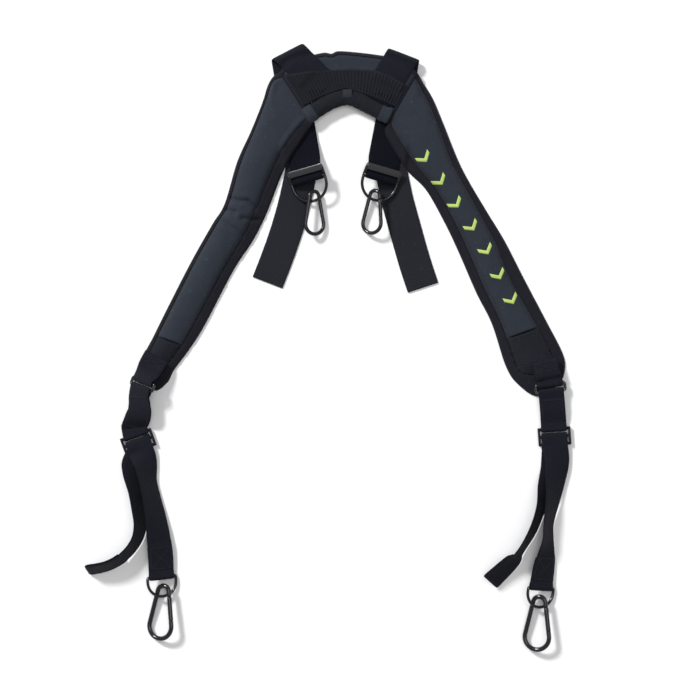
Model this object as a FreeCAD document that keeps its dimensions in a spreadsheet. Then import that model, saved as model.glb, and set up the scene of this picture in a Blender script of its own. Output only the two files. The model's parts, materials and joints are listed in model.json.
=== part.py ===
import FreeCAD, Part
import math
import os

# Padded shoulder harness for a heavy instrument, laid face up on a table.
# X runs to the right, Y towards the yoke, Z up from the table.  Millimetres and degrees.

V = FreeCAD.Vector
Z_UP = V(0, 0, 1)
doc = FreeCAD.newDocument("shoulder_harness")

# ---------------------------------------------------------------- driving dimensions
SIZES = {
    "lower_webbing_width": 30.0,
    "rear_webbing_width": 38.0,
    "webbing_thick": 1.8,
    "webbing_clearance": 0.3,
    "panel_thick": 2.2,
    "strap_room": 4.2,
    "foam_top": 12.5,
    "face_thick": 1.2,
    "border_thick": 2.8,
    "band_thick": 2.2,
    "roll_height": 13.0,
    "tag_thick": 0.8,
    "motif_thick": 0.8,
    "ring_wire": 3.5,
    "ring_reach": 9.0,
    "ring_half_width": 17.3,
    "dee_wire": 3.5,
    "dee_half_width": 17.3,
    "dee_leg": 6.0,
    "slider_wire": 3.5,
    "slider_half_width": 21.3,
    "slider_bar": 4.0,
    "slider_plate_width": 8.0,
    "slider_plate_thick": 2.4,
    "slider_plate_reach": 10.5,
    "slider_bow_shift": 5.0,
    "piping_wire": 2.0,
    "seam_gap": 1.3,
    "lock_half_width": 18.0,
    "lock_rail": 2.4,
    "lock_thick": 4.0,
    "lock_bar": 3.5,
    "lock_pitch": 9.0,
    "lower_hook_wire": 5.5,
    "lower_hook_eye": 7.5,
    "lower_hook_belly": 14.75,
    "lower_hook_span": 40.3,
    "rear_hook_wire": 4.5,
    "rear_hook_eye": 6.25,
    "rear_hook_belly": 11.75,
    "rear_hook_span": 32.5,
    "tongue_thick": 1.8,
    "slot_width": 2.1,
    "rivet_wire": 1.8,
    "running_clearance": 0.05,
}
sheet = doc.addObject("Spreadsheet::Sheet", "sizes")
for row, (name, value) in enumerate(SIZES.items(), start=1):
    sheet.set(f"A{row}", name)
    sheet.set(f"B{row}", str(value))
    sheet.setAlias(f"B{row}", name)
doc.recompute()


def size(name):
    """A driving dimension, read from the sheet."""
    return float(sheet.get(name))


THICK = size("webbing_thick")
HALF_STRAP = size("lower_webbing_width") / 2
HALF_REAR = size("rear_webbing_width") / 2
GROUND_GAP = 0.2
STRAP_LIFT = 2.1  # an upper layer of webbing lies this far above the table
FACE_TOP = size("foam_top") + size("face_thick")
BAND_TOP = FACE_TOP + size("band_thick")
nodes = []


def keep(obj, label, placement=None):
    """Names a finished sub-part and, if asked, moves it into place."""
    obj.Label = label
    if placement is not None:
        obj.Placement = placement
    nodes.append(obj)
    return obj


def pose(x, y, z, yaw=0.0, pitch=0.0, roll=0.0):
    """A place in the layout.  Local x runs across the strap, local y up it and local z off its face.
    A positive pitch lifts the end that local y points to, and a positive roll lifts the left edge."""
    turn = (
        FreeCAD.Rotation(Z_UP, yaw)
        * FreeCAD.Rotation(V(1, 0, 0), pitch)
        * FreeCAD.Rotation(V(0, 1, 0), roll)
    )
    return FreeCAD.Placement(V(x, y, z), turn)


def mix(a, b, share):
    """The point that lies that share of the way from a to b."""
    return V(a) + (V(b) - V(a)) * share


def toward(a, b, distance):
    """The point that lies that far from a on the way to b."""
    step = V(b) - V(a)
    return V(a) + step * (distance / step.Length)


def flat(points, z=0.0):
    return [V(x, y, z) for x, y in points]


# ---------------------------------------------------------------- flat sewn panels
def curve(points):
    spline = Part.BSplineCurve()
    spline.interpolate(points)
    return spline


def lines(points, closed=True):
    ends = points[1:] + points[:1] if closed else points[1:]
    return [Part.LineSegment(a, b) for a, b in zip(points, ends)]


def origin_plane(body, role):
    return [f for f in body.Origin.OriginFeatures if f.Role == role][0]


def plate(label, loops, low, thick):
    """A flat panel: loops of edges drawn on the table plane, padded from the height low."""
    body = doc.addObject("PartDesign::Body", label)
    sketch = body.newObject("Sketcher::SketchObject", label + "_outline")
    sketch.AttachmentSupport = [(origin_plane(body, "XY_Plane"), "")]
    sketch.MapMode = "FlatFace"
    sketch.setExpression(".AttachmentOffset.Base.z", low)
    for loop in loops:
        for edge in loop:
            sketch.addGeometry(edge)
    pad = body.newObject("PartDesign::Pad", label + "_pad")
    pad.Profile = sketch
    pad.setExpression("Length", thick)
    body.Tip = pad
    return body


def prism(label, points, low, thick):
    return plate(label, [lines(flat(points))], low, thick)


def cut(label, base, tools):
    for count, tool in enumerate(tools):
        result = doc.addObject("Part::Cut", f"{label}_cut{count}")
        result.Base = base
        result.Tool = tool
        base = result
    return base


def fuse(label, parts):
    result = doc.addObject("Part::MultiFuse", label + "_all")
    result.Shapes = parts
    result.Refine = True
    return result


# ---------------------------------------------------------------- rods, bends and blocks
def rod(label, start, end, wire):
    """A round rod between two points.  wire is the expression for its diameter."""
    made = doc.addObject("Part::Cylinder", label)
    made.setExpression("Radius", f"({wire}) / 2")
    made.Height = (end - start).Length
    made.Placement = FreeCAD.Placement(start, FreeCAD.Rotation(Z_UP, end - start))
    return made


def bend(label, centre, radius, wire, start, sweep):
    """A round rod bent in the XY plane about centre, from the angle start through sweep."""
    made = doc.addObject("Part::Torus", label)
    made.setExpression("Radius1", radius)
    made.setExpression("Radius2", f"({wire}) / 2")
    made.Angle3 = sweep
    made.Placement = FreeCAD.Placement(centre, FreeCAD.Rotation(Z_UP, start))
    return made


def block(label, low, high):
    made = doc.addObject("Part::Box", label)
    made.Length = high.x - low.x
    made.Width = high.y - low.y
    made.Height = high.z - low.z
    made.Placement.Base = low
    return made


# ---------------------------------------------------------------- webbing
def section(place, width, thick):
    """One cross-section of a webbing strap at a place, as a closed wire."""
    corners = [(-1, -1), (1, -1), (1, 1), (-1, 1)]
    points = [place.multVec(V(i * width / 2, 0, j * thick / 2)) for i, j in corners]
    return Part.makePolygon(points + points[:1])


def ribbon(places, width, thicks):
    """Webbing laid through a row of places, each with its own thickness."""
    wires = [section(p, width, t) for p, t in zip(places, thicks)]
    return Part.makeLoft(wires, True, True)


def wrap(place, width, wire):
    """Webbing turned once round a bar that lies along local x."""
    inner = wire / 2 + size("webbing_clearance")
    start = place.multVec(V(-width / 2, 0, 0))
    along = place.Rotation.multVec(V(1, 0, 0))
    outer = Part.makeCylinder(inner + THICK, width, start, along)
    return outer.cut(Part.makeCylinder(inner, width, start, along))


def webbing(label, shape):
    made = doc.addObject("Part::Feature", label)
    made.Shape = shape.removeSplitter() if len(shape.Solids) > 1 else shape
    return keep(made, label)


def lying(roll, half_width):
    """Height of the middle of a strap that rests on its lower edge when rolled that far."""
    tilt = math.radians(abs(roll))
    return half_width * math.sin(tilt) + THICK / 2 * math.cos(tilt) + GROUND_GAP


def trail(stations, steps, half_width):
    """Places along a smooth line, none of them below the table.  Each station is (x, y, z, roll)."""
    spline = curve([V(x, y, z) for x, y, z, _ in stations])
    marks = [spline.parameter(V(x, y, z)) for x, y, z, _ in stations]
    first, last = spline.FirstParameter, spline.LastParameter
    places = []
    for step in range(steps + 1):
        at = first + (last - first) * step / steps
        leg = max(i for i in range(len(marks) - 1) if marks[i] <= at + 1e-9)
        share = (at - marks[leg]) / (marks[leg + 1] - marks[leg])
        roll = stations[leg][3] + (stations[leg + 1][3] - stations[leg][3]) * share
        ahead = spline.tangent(at)[0]
        yaw = math.degrees(math.atan2(ahead.x, -ahead.y))
        slope = math.degrees(math.atan2(-ahead.z, math.hypot(ahead.x, ahead.y)))
        middle = spline.value(at)
        height = max(middle.z, lying(roll, half_width))
        places.append(pose(middle.x, middle.y, height, yaw, slope, roll))
    return places


def reach(place, x=0.0, y=0.0, z=0.0):
    """A point given in the local axes of a place."""
    return place.multVec(V(x, y, z))


def shifted(place, x=0.0, y=0.0, z=0.0):
    return FreeCAD.Placement(reach(place, x, y, z), place.Rotation)


# ---------------------------------------------------------------- seams and straps under the yoke
# Seams run from the outer corner of the yoke to the inner corner of the shoulder pad.
SEAMS = {
    "left": (V(-58.5, 326.0), V(-19.5, 266.0)),
    "right": (V(103.3, 326.0), V(69.0, 266.0)),
}
SIDES = {"left": -1, "right": 1}
SEAM_HEIGHT = FACE_TOP


def seam_points(side, away):
    """The two ends of a seam, moved that far from the yoke (or into it if negative)."""
    top, bottom = SEAMS[side]
    along = bottom - top
    normal = V(-along.y, along.x) * (1 / along.Length)
    out = normal if normal.x * SIDES[side] > 0 else normal * -1
    return top + out * away, bottom + out * away


# Middle line of each rear strap, from the corner fold down to the slider.
REAR_STRAPS = {
    "left": {"fold": (V(-66.7, 341.6), V(-34.8, 358.1)), "bar": V(-25.2, 199.5), "yaw": 12.0},
    "right": {"fold": (V(105.6, 340.4), V(71.4, 353.4)), "bar": V(60.5, 200.5), "yaw": -12.0},
}
REAR_ROLL = 18.0
REAR_PITCH = -8.0
BAR_HEIGHT = 12.1
SLIDER_TILT = 14.0  # the slider's plate stands this far off the strap
GAP = size("seam_gap")

# ---------------------------------------------------------------- yoke
arch = flat([(-30.6, 286.8), (-17.1, 294.4), (-1.8, 301.5), (18.3, 307.4)])
arch += flat([(33.6, 303.8), (57.2, 295.6), (77.8, 286.0)])
crown_left, foot_left = seam_points("left", -GAP)
crown_right, foot_right = seam_points("right", -GAP)
crown = [crown_left] + flat([(-52.0, 337.0), (-40.0, 343.6), (-24.2, 346.0), (11.2, 351.0)])
crown += flat([(63.1, 346.0), (80.8, 342.0), (94.0, 335.5)]) + [crown_right]


def yoke_loop():
    """Outline of the yoke: its top edge, the two seams and the arch over the neck."""
    sides = lines([arch[0], crown_left], False) + lines([crown_right, arch[-1]], False)
    return [curve(arch), curve(crown)] + sides


keep(plate("yoke_back_panel", [yoke_loop()], "sizes.strap_room", "sizes.panel_thick"), "yoke_back_panel")
yoke_foam_low = "sizes.strap_room + sizes.panel_thick"
keep(plate("yoke_foam", [yoke_loop()], yoke_foam_low, f"sizes.foam_top - ({yoke_foam_low})"), "yoke_foam")
keep(plate("yoke_face_panel", [yoke_loop()], "sizes.foam_top", "sizes.face_thick"), "yoke_face_panel")

FACE_TOP_CELL = "sizes.foam_top + sizes.face_thick"
BINDING_DEPTH = V(0, -6.5)
top_edge = crown[1:-1]
low_edge = [p + BINDING_DEPTH for p in top_edge]
binding_loop = [curve(top_edge), curve(low_edge)]
binding_loop += lines([top_edge[0], low_edge[0]], False) + lines([top_edge[-1], low_edge[-1]], False)
keep(plate("yoke_top_binding", [binding_loop], FACE_TOP_CELL, "sizes.face_thick"), "yoke_top_binding")

band_top = flat([(-53.4, 322.6), (-5.3, 327.8), (53.7, 327.0), (91.5, 309.8)])
band_loop = [curve(arch), curve(band_top)]
band_loop += lines([arch[0], band_top[0]], False) + lines([arch[-1], band_top[-1]], False)
keep(plate("yoke_band", [band_loop], FACE_TOP_CELL, "sizes.band_thick"), "yoke_band")

ROLL_HALF_WIDTH = 9.0
ROLL_MIDDLE = size("strap_room") + size("roll_height") / 2
roll_points = [(-22.6, 277.2), (-8.0, 286.6), (5.0, 293.2), (18.3, 296.6)]
roll_points += [(31.0, 294.4), (48.0, 286.0), (69.0, 276.2)]
roll_line = curve(flat(roll_points, ROLL_MIDDLE))


def roll_section(at, grow):
    """An oval across the neck roll, larger than the roll by grow."""
    middle = roll_line.value(at)
    ahead = roll_line.tangent(at)[0]
    oval = Part.Ellipse(V(0, 0, 0), ROLL_HALF_WIDTH + grow, size("roll_height") / 2 + grow)
    wire = Part.Wire(oval.toShape())
    across = V(ahead.y, -ahead.x)
    frame = FreeCAD.Rotation(across, Z_UP, ahead, "XYZ")
    wire.Placement = FreeCAD.Placement(middle, frame)
    return wire


def roll_length(start, end, count, grow):
    first, last = roll_line.FirstParameter, roll_line.LastParameter
    shares = [start + (end - start) * i / (count - 1) for i in range(count)]
    sections = [roll_section(first + (last - first) * share, grow) for share in shares]
    return Part.makeLoft(sections, True, False)


def feature(label, shape):
    made = doc.addObject("Part::Feature", label)
    made.Shape = shape
    return keep(made, label)


feature("neck_roll", roll_length(0.0, 1.0, 9, 0.0))
PATCH_REACH = 0.13
above_band = Part.makeBox(300, 300, 20, V(-150, 200, BAND_TOP + 0.05))
for side, start, end in (("left", 0.0, PATCH_REACH), ("right", 1 - PATCH_REACH, 1.0)):
    sleeve = roll_length(start, end, 3, 1.6).cut(roll_length(start, end, 3, 0.1))
    feature(f"roll_patch_{side}", sleeve.common(above_band))

LABEL_WIDTH = 10.6
LABEL_GAP = 0.1
label_low = V(15.9, 294.4, size("strap_room") + size("roll_height") + LABEL_GAP)
label_patch = block("label_patch", label_low, label_low + V(LABEL_WIDTH, LABEL_WIDTH, size("tag_thick")))
keep(label_patch, "label_patch")

for side in SIDES:
    top, bottom = (V(p.x, p.y, SEAM_HEIGHT) for p in SEAMS[side])
    keep(rod(f"seam_piping_{side}", top, bottom, "sizes.piping_wire"), f"seam_piping_{side}")

# ---------------------------------------------------------------- shoulder pads
# Each station is (outer edge, inner edge, outer border width, inner border width).
PADS = {
    "left": {
        "stations": [
            ((-79.3, 291.0), (-32.5, 247.0), 5, 12),
            ((-93.0, 257.0), (-46.0, 225.5), 5, 13),
            ((-109.1, 221.2), (-57.5, 203.0), 5, 13),
            ((-124.0, 171.5), (-74.0, 160.5), 5, 14),
            ((-138.7, 146.9), (-90.3, 128.0), 5, 13),
            ((-163.4, 103.2), (-113.5, 92.5), 5, 12),
            ((-190.6, 50.1), (-146.9, 28.9), 5, 12),
            ((-207.5, 16.0), (-164.6, 0.6), 5, 11),
            ((-221.5, -12.0), (-183.5, -25.0), 6, 10),
        ],
        "tip": [(-221.0, -27.0), (-207.5, -49.5), (-192.0, -40.5)],
        "foam_tip": [(-213.5, -22.5), (-200.0, -27.0)],
        "face_count": 8,
    },
    "right": {
        "stations": [
            ((121.0, 298.5), (66.0, 254.0), 8, 11),
            ((134.0, 268.5), (79.5, 229.5), 8, 12),
            ((151.0, 226.0), (94.0, 208.5), 8, 13),
            ((164.5, 199.0), (115.0, 187.0), 8, 11),
            ((187.0, 161.1), (137.5, 147.0), 9, 11),
            ((207.1, 128.0), (154.0, 112.0), 11, 11),
            ((230.7, 82.0), (174.0, 66.0), 15, 11),
            ((256.5, 33.0), (192.5, 29.0), 14, 11),
            ((275.5, -4.1), (209.0, -21.0), 13, 12),
        ],
        "tip": [(279.2, -23.0), (272.5, -40.5), (247.2, -56.5), (223.5, -42.5)],
        "foam_tip": [(264.0, -19.0), (257.0, -29.0), (238.0, -31.0), (227.0, -27.0)],
        "face_count": 8,
    },
}


def pad_edges(side, inset):
    """The outer and inner edge of a pad from the seam down, set in by its borders if asked."""
    top, bottom = seam_points(side, GAP)
    outer = [top]
    inner = [bottom]
    for out, into, outer_border, inner_border in PADS[side]["stations"]:
        a, b = V(*out), V(*into)
        outer.append(toward(a, b, outer_border) if inset else a)
        inner.append(toward(b, a, inner_border) if inset else b)
    if inset:
        outer[0] = toward(top, bottom, 8.0)
        inner[0] = toward(bottom, top, 9.0)
    return outer, inner


def pad_loop(side, inset):
    outer, inner = pad_edges(side, inset)
    tip = flat(PADS[side]["foam_tip" if inset else "tip"])
    end = curve([outer[-1]] + tip + [inner[-1]])
    return [curve(outer), end, curve(inner)] + lines([inner[0], outer[0]], False)


def pad_rim(side):
    """The strip between a pad's outline and its padding, open at the seam."""
    outline = pad_loop(side, False)
    core = pad_loop(side, True)
    outer, inner = pad_edges(side, False)
    core_outer, core_inner = pad_edges(side, True)
    joins = lines([outer[0], core_outer[0]], False) + lines([inner[0], core_inner[0]], False)
    return outline[:3] + core[:3] + joins


def strap_channel(side, label):
    """Room under a pad for the rear strap, open towards the neck."""
    fold = REAR_STRAPS[side]["fold"]
    bar = REAR_STRAPS[side]["bar"]
    head = mix(fold[0], fold[1], 0.5)
    ahead = (head - bar) * (1 / (head - bar).Length)
    across = V(ahead.y, -ahead.x)
    edge = HALF_REAR + 2.5
    out = across * SIDES[side]
    points = [head + ahead * 40 + out * edge, head + ahead * 40 - out * 90, bar - out * 90, bar + out * edge]
    return prism(label, [(p.x, p.y) for p in points], "-1", "sizes.strap_room + 3")


for side in SIDES:
    outline = pad_loop(side, False)
    core = pad_loop(side, True)
    back = plate(f"pad_back_{side}_full", [outline], "0", "sizes.panel_thick")
    keep(cut(f"pad_back_{side}", back, [strap_channel(side, f"back_channel_{side}")]), f"pad_back_{side}")
    foam = plate(f"pad_foam_{side}_full", [core], "sizes.panel_thick", "sizes.foam_top - sizes.panel_thick")
    keep(cut(f"pad_foam_{side}", foam, [strap_channel(side, f"foam_channel_{side}")]), f"pad_foam_{side}")
    rim = plate(f"pad_border_{side}_full", [pad_rim(side)], "sizes.panel_thick", "sizes.border_thick")
    keep(cut(f"pad_border_{side}", rim, [strap_channel(side, f"rim_channel_{side}")]), f"pad_border_{side}")
    outer, inner = pad_edges(side, True)
    count = PADS[side]["face_count"] + 1
    face = [curve(outer[:count]), curve(inner[:count])]
    face += lines([outer[0], inner[0]], False) + lines([outer[count - 1], inner[count - 1]], False)
    keep(plate(f"pad_face_{side}", [face], "sizes.foam_top", "sizes.face_thick"), f"pad_face_{side}")
    tip = curve([outer[-1]] + flat(PADS[side]["foam_tip"]) + [inner[-1]])
    end = lines([outer[-1], outer[count - 1]], False) + lines([inner[-1], inner[count - 1]], False)
    end += lines([outer[count - 1], inner[count - 1]], False)
    keep(plate(f"pad_end_{side}", [[tip] + end], "sizes.foam_top", "sizes.face_thick"), f"pad_end_{side}")

# A row of stitched chevrons runs down the right pad.
MOTIF_COUNT = 7
MOTIF_SPAN = 8.5
motif_line = curve(flat([(112.0, 224.0), (148.0, 172.0), (178.0, 128.0), (196.0, 93.0), (215.0, 57.0)]))


def chevron(share):
    """One chevron, point down the strap."""
    first, last = motif_line.FirstParameter, motif_line.LastParameter
    at = first + (last - first) * share
    ahead = motif_line.tangent(at)[0]
    middle = motif_line.value(at)
    yaw = math.degrees(math.atan2(ahead.x, -ahead.y))
    place = pose(middle.x, middle.y, FACE_TOP, yaw)
    shape = [(-1, 0.2), (0, -0.6), (1, 0.2), (1, 0.8), (0, 0.0), (-1, 0.8)]
    points = [reach(place, x * MOTIF_SPAN, y * MOTIF_SPAN) for x, y in shape]
    return Part.Face(Part.makePolygon(points + points[:1])).extrude(V(0, 0, size("motif_thick")))


chevrons = [chevron(index / (MOTIF_COUNT - 1)) for index in range(MOTIF_COUNT)]
feature("pad_motif", Part.makeCompound(chevrons))


# ---------------------------------------------------------------- rear straps
# Each rear strap runs under the yoke, folds over its corner and ends as a tab on its face.
FOLD_WALL = THICK
FLAT_RUN = 107.0
HALF_TWIST = 0.35
TAB_LENGTH = 46.0
TAB_LOW = BAND_TOP + 0.05
REAR_TAILS = {
    "left": [(-34.2, 203.0), (-42.0, 170.0), (-51.5, 137.0), (-62.0, 107.0), (-73.2, 78.0)],
    "right": [(74.6, 203.0), (80.0, 178.0), (87.5, 150.0), (100.5, 104.0), (111.0, 72.0)],
}


def slab(points, low, thick):
    wire = Part.makePolygon([V(p.x, p.y, low) for p in points + points[:1]])
    return Part.Face(wire).extrude(V(0, 0, thick))


def loop_place(side):
    """The middle bar of a rear slider, with local y up the strap."""
    bar = REAR_STRAPS[side]["bar"]
    return pose(bar.x, bar.y, BAR_HEIGHT, REAR_STRAPS[side]["yaw"], REAR_PITCH, SIDES[side] * REAR_ROLL)


def rear_strap(side):
    ends = REAR_STRAPS[side]["fold"]
    left, right = sorted(ends, key=lambda p: p.x)
    bar = loop_place(side)
    start = reach(bar, 0, size("slider_bar") / 2 + THICK + 2 * size("webbing_clearance") + 0.2)
    head = mix(left, right, 0.5)
    down = V(start.x - head.x, start.y - head.y, 0)
    down = down * (1 / down.Length)
    across = V(-down.y, down.x) * HALF_REAR
    flat_end = head + down * FLAT_RUN
    under = slab([left, right, flat_end + across, flat_end - across], STRAP_LIFT, THICK)
    height = STRAP_LIFT + THICK / 2
    yaw = math.degrees(math.atan2(down.x, -down.y))
    roll = SIDES[side] * REAR_ROLL
    places = [pose(flat_end.x, flat_end.y, height, yaw)]
    low_side = HALF_REAR * math.sin(math.radians(REAR_ROLL * HALF_TWIST))
    half_way = mix(flat_end, V(start.x, start.y), 0.4)
    places.append(pose(half_way.x, half_way.y, height + low_side, yaw, 0, roll * HALF_TWIST))
    places.append(shifted(bar, 0, 16))
    places.append(shifted(bar, 0, start.distanceToPoint(bar.Base)))
    twist = ribbon(places, 2 * HALF_REAR, [THICK] * len(places))
    fold = (right - left) * (1 / (right - left).Length)
    inward = V(fold.y, -fold.x)
    wall_outline = [left, right, right + inward * FOLD_WALL, left + inward * FOLD_WALL]
    wall = slab(wall_outline, STRAP_LIFT, TAB_LOW + THICK - STRAP_LIFT)
    tab_way = inward * (2 * inward.dot(down)) - down
    tab = slab([left, right, right + tab_way * TAB_LENGTH, left + tab_way * TAB_LENGTH], TAB_LOW, THICK)
    return under.fuse([twist, wall, tab])


for side in SIDES:
    webbing(f"rear_strap_{side}", rear_strap(side))
    bar = loop_place(side)
    webbing(f"rear_loop_{side}", wrap(bar, 2 * HALF_REAR, size("slider_bar")))
    low = GROUND_GAP + THICK / 2
    stations = [(x, y, low, 0) for x, y in REAR_TAILS[side]]
    webbing(f"rear_tail_{side}", ribbon(trail(stations, 8, HALF_REAR), 2 * HALF_REAR, [THICK] * 9))


# ---------------------------------------------------------------- wire hardware
def dee(label, half_width, wire, bar_wire, leg, extra=()):
    """A D-ring with its bar on local x and its bow below, half_width wide at the wire's middle."""
    half = size(half_width)
    low = size(leg)
    corners = [V(-half, 0, 0), V(half, 0, 0), V(half, -low, 0), V(-half, -low, 0)]
    parts = [
        rod(label + "_bar", corners[0], corners[1], f"sizes.{bar_wire}"),
        rod(label + "_leg0", corners[0], corners[3], f"sizes.{wire}"),
        rod(label + "_leg1", corners[1], corners[2], f"sizes.{wire}"),
        bend(label + "_bow", V(0, -low, 0), f"sizes.{half_width}", f"sizes.{wire}", 180, 180),
    ]
    for index in (0, 1):
        parts.append(ball(f"{label}_corner{index}", corners[index], f"sizes.{wire}"))
    return fuse(label, parts + list(extra))


def ball(label, centre, wire):
    made = doc.addObject("Part::Sphere", label)
    made.setExpression("Radius", f"({wire}) / 2")
    made.Placement.Base = centre
    return made


def rear_slider(side):
    """Webbing slider: a flat plate over the strap, a middle bar and a bow for the hook."""
    label = f"rear_slider_{side}"
    half = size("slider_half_width")
    deep = size("slider_plate_width") / 2
    thick = size("slider_plate_thick")
    far = size("slider_plate_reach")
    low = THICK / 2 + size("webbing_clearance")
    end = half + size("slider_wire") / 2 - deep
    extra = [block(label + "_plate", V(-end, far - deep, low), V(end, far + deep, low + thick))]
    for x in (-end, end):
        cap = doc.addObject("Part::Cylinder", f"{label}_cap{x > 0:d}")
        cap.setExpression("Radius", "sizes.slider_plate_width / 2")
        cap.setExpression("Height", "sizes.slider_plate_thick")
        cap.Placement.Base = V(x, far, low)
        extra.append(cap)
    for x in (-half, half):
        top = V(x, far, low + thick / 2)
        extra.append(rod(f"{label}_rail{x > 0:d}", V(x, 0, 0), top, "sizes.slider_wire"))
    return dee(label, "slider_half_width", "slider_wire", "slider_bar", "slider_bow_shift", extra)


def slider_place(side):
    tilt = FreeCAD.Placement(V(0, 0, 0), FreeCAD.Rotation(V(1, 0, 0), SLIDER_TILT))
    return loop_place(side) * tilt


for side in SIDES:
    keep(rear_slider(side), f"rear_slider_{side}", slider_place(side))

# ---------------------------------------------------------------- snap hooks
PIVOT_FROM_EYE = 7.5  # distance of the gate's pivot from the end of the eye's bend
TONGUE_TIP = 1.5
SHOULDER = 3.3
SLOT_FLOOR = 3.3
GATE_END = 1.2
NOSE_LENGTH = 5.5
NOSE_TONGUE = 3.2
NOSE_GAP = 0.3
RIVET_HEAD = 0.3  # how far a rivet stands out of the hook on each side


def hook(kind, side, place):
    """A wire snap hook with its eye at the local origin, its belly below and its gate on local +x."""
    label = f"{kind}_hook_{side}"
    wire, eye, belly, span = (f"{kind}_hook_{name}" for name in ("wire", "eye", "belly", "span"))
    thick, top, low, gap = (size(name) for name in (wire, eye, belly, span))
    lean = math.degrees(math.asin((low - top) / gap))
    out = V(math.cos(math.radians(lean)), math.sin(math.radians(lean)))
    start, stop = out * top, out * low + V(0, -gap)
    way = (stop - start) * (1 / (stop - start).Length)
    pivot = start + way * PIVOT_FROM_EYE
    nose = stop - way * NOSE_LENGTH
    spine = [V(-p.x, p.y, 0) for p in (start, stop)]
    wide = thick + 2
    frame = FreeCAD.Rotation(V(0, 0, 1), math.degrees(math.atan2(way.y, way.x)))

    def cheek(name, middle, first, last, upper, slot):
        """A cutting box along the gate line: above or below a tongue, or a slot if upper is None."""
        half = size(slot) / 2
        zs = (-half, half) if upper is None else ((half, wide) if upper else (-wide, -half))
        made = block(name, V(first, -wide, zs[0]), V(last, wide, zs[1]))
        made.Placement = FreeCAD.Placement(middle, frame) * made.Placement
        return made

    body_parts = [
        bend(label + "_eye", V(0, 0, 0), f"sizes.{eye}", f"sizes.{wire}", lean, 180 - 2 * lean),
        bend(label + "_belly", V(0, -gap, 0), f"sizes.{belly}", f"sizes.{wire}", 180 - lean, 180 + 2 * lean),
        rod(label + "_spine", spine[0], spine[1], f"sizes.{wire}"),
        rod(label + "_stub", start, pivot + way * TONGUE_TIP, f"sizes.{wire}"),
        rod(label + "_nose", nose - way * NOSE_TONGUE, stop, f"sizes.{wire}"),
    ]
    whole = fuse(label, body_parts)
    tools = []
    for upper in (True, False):
        tools.append(cheek(f"{label}_pivot_cheek{upper:d}", pivot, -SHOULDER, wide, upper, "tongue_thick"))
        tools.append(cheek(f"{label}_nose_cheek{upper:d}", nose, -wide, 0, upper, "tongue_thick"))
    head = V(0, 0, thick / 2 + RIVET_HEAD)
    pin = rod(label + "_pin", pivot - head, pivot + head, "sizes.rivet_wire")
    hole = rod(label + "_pin_hole", pivot - V(0, 0, wide), pivot + V(0, 0, wide), "sizes.rivet_wire")
    tools.append(hole)
    keep(cut(label, whole, tools), f"{kind}_hook_body_{side}", place)
    keep(pin, f"{kind}_hook_rivet_{side}", place * pin.Placement)

    gate = rod(label + "_gate", pivot - way * GATE_END, nose - way * NOSE_GAP, f"sizes.{wire}")
    play = "sizes.rivet_wire + 2 * sizes.running_clearance"
    bore = rod(label + "_gate_bore", pivot - V(0, 0, wide), pivot + V(0, 0, wide), play)
    slots = [
        cheek(label + "_pivot_slot", pivot, -wide, SLOT_FLOOR, None, "slot_width"),
        cheek(label + "_nose_slot", nose, -NOSE_TONGUE - 0.8, wide, None, "slot_width"),
    ]
    keep(cut(label + "_gate", gate, [bore] + slots), f"{kind}_hook_gate_{side}", place)


REAR_HOOK_ROLL = 26.0
LINK_DROP = 5.0  # how far the ring's bow sits below the middle of the hook's eye
REAR_HOOK_YAW = {"left": 1.0, "right": -6.0}
for side in SIDES:
    bow = reach(slider_place(side), 0, -size("slider_bow_shift") - size("slider_half_width"))
    yaw = REAR_HOOK_YAW[side]
    roll = -SIDES[side] * REAR_HOOK_ROLL
    swung = pose(bow.x, bow.y, bow.z, yaw, 0, roll)
    hook("rear", side, shifted(swung, 0, LINK_DROP))

# ---------------------------------------------------------------- front hardware
LOCK_HEIGHT = GROUND_GAP + size("lock_bar") / 2 + size("webbing_clearance") + THICK
EYE = size("ring_wire") / 2 + size("webbing_clearance")
LOOP_OUTER = EYE + THICK
FRONT = {
    "left": {
        "ring": pose(-220.0, -42.0, 14.0, -20.0, 0, -35.0),
        "tab": [(-204.5, -8.0, FACE_TOP + 1.0, 0), (-209.5, -19.0, FACE_TOP + 2.6, -4)],
        "lock": pose(-226.0, -110.5, LOCK_HEIGHT, 20.0),
        "connector": [(-220.0, -62.0, 14.5, -42.0), (-222.5, -81.0, 12.5, -28.0)],
        "dee": pose(-198.0, -269.2, 9.3, 4.0, 0, 21.0),
        "hook_yaw": -5.0,
        "hook_roll": -25.0,
    },
    "right": {
        "ring": pose(261.0, -46.0, 9.5, 7.0),
        "tab": [(253.0, -8.0, FACE_TOP + 1.0, 0), (257.5, -31.0, FACE_TOP + 1.2, 0)],
        "lock": pose(266.3, -103.9, LOCK_HEIGHT, 4.0),
        "connector": [(263.3, -62.0, 8.5, 0), (265.5, -82.0, 4.6, 0)],
        "dee": pose(249.8, -282.1, 10.1, -6.0, 0, 25.0),
        "hook_yaw": -4.0,
        "hook_roll": -21.0,
    },
}


def bar_of(place, up):
    return shifted(place, 0, up)


def ring(side):
    """A rectangular ring: two bars across the strap joined at their ends."""
    label = f"ring_{side}"
    half = size("ring_half_width")
    deep = size("ring_reach") / 2
    corners = [V(-half, deep, 0), V(half, deep, 0), V(half, -deep, 0), V(-half, -deep, 0)]
    parts = []
    for index in range(4):
        parts.append(rod(f"{label}_side{index}", corners[index], corners[(index + 1) % 4], "sizes.ring_wire"))
        parts.append(ball(f"{label}_corner{index}", corners[index], "sizes.ring_wire"))
    return fuse(label, parts)


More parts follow.
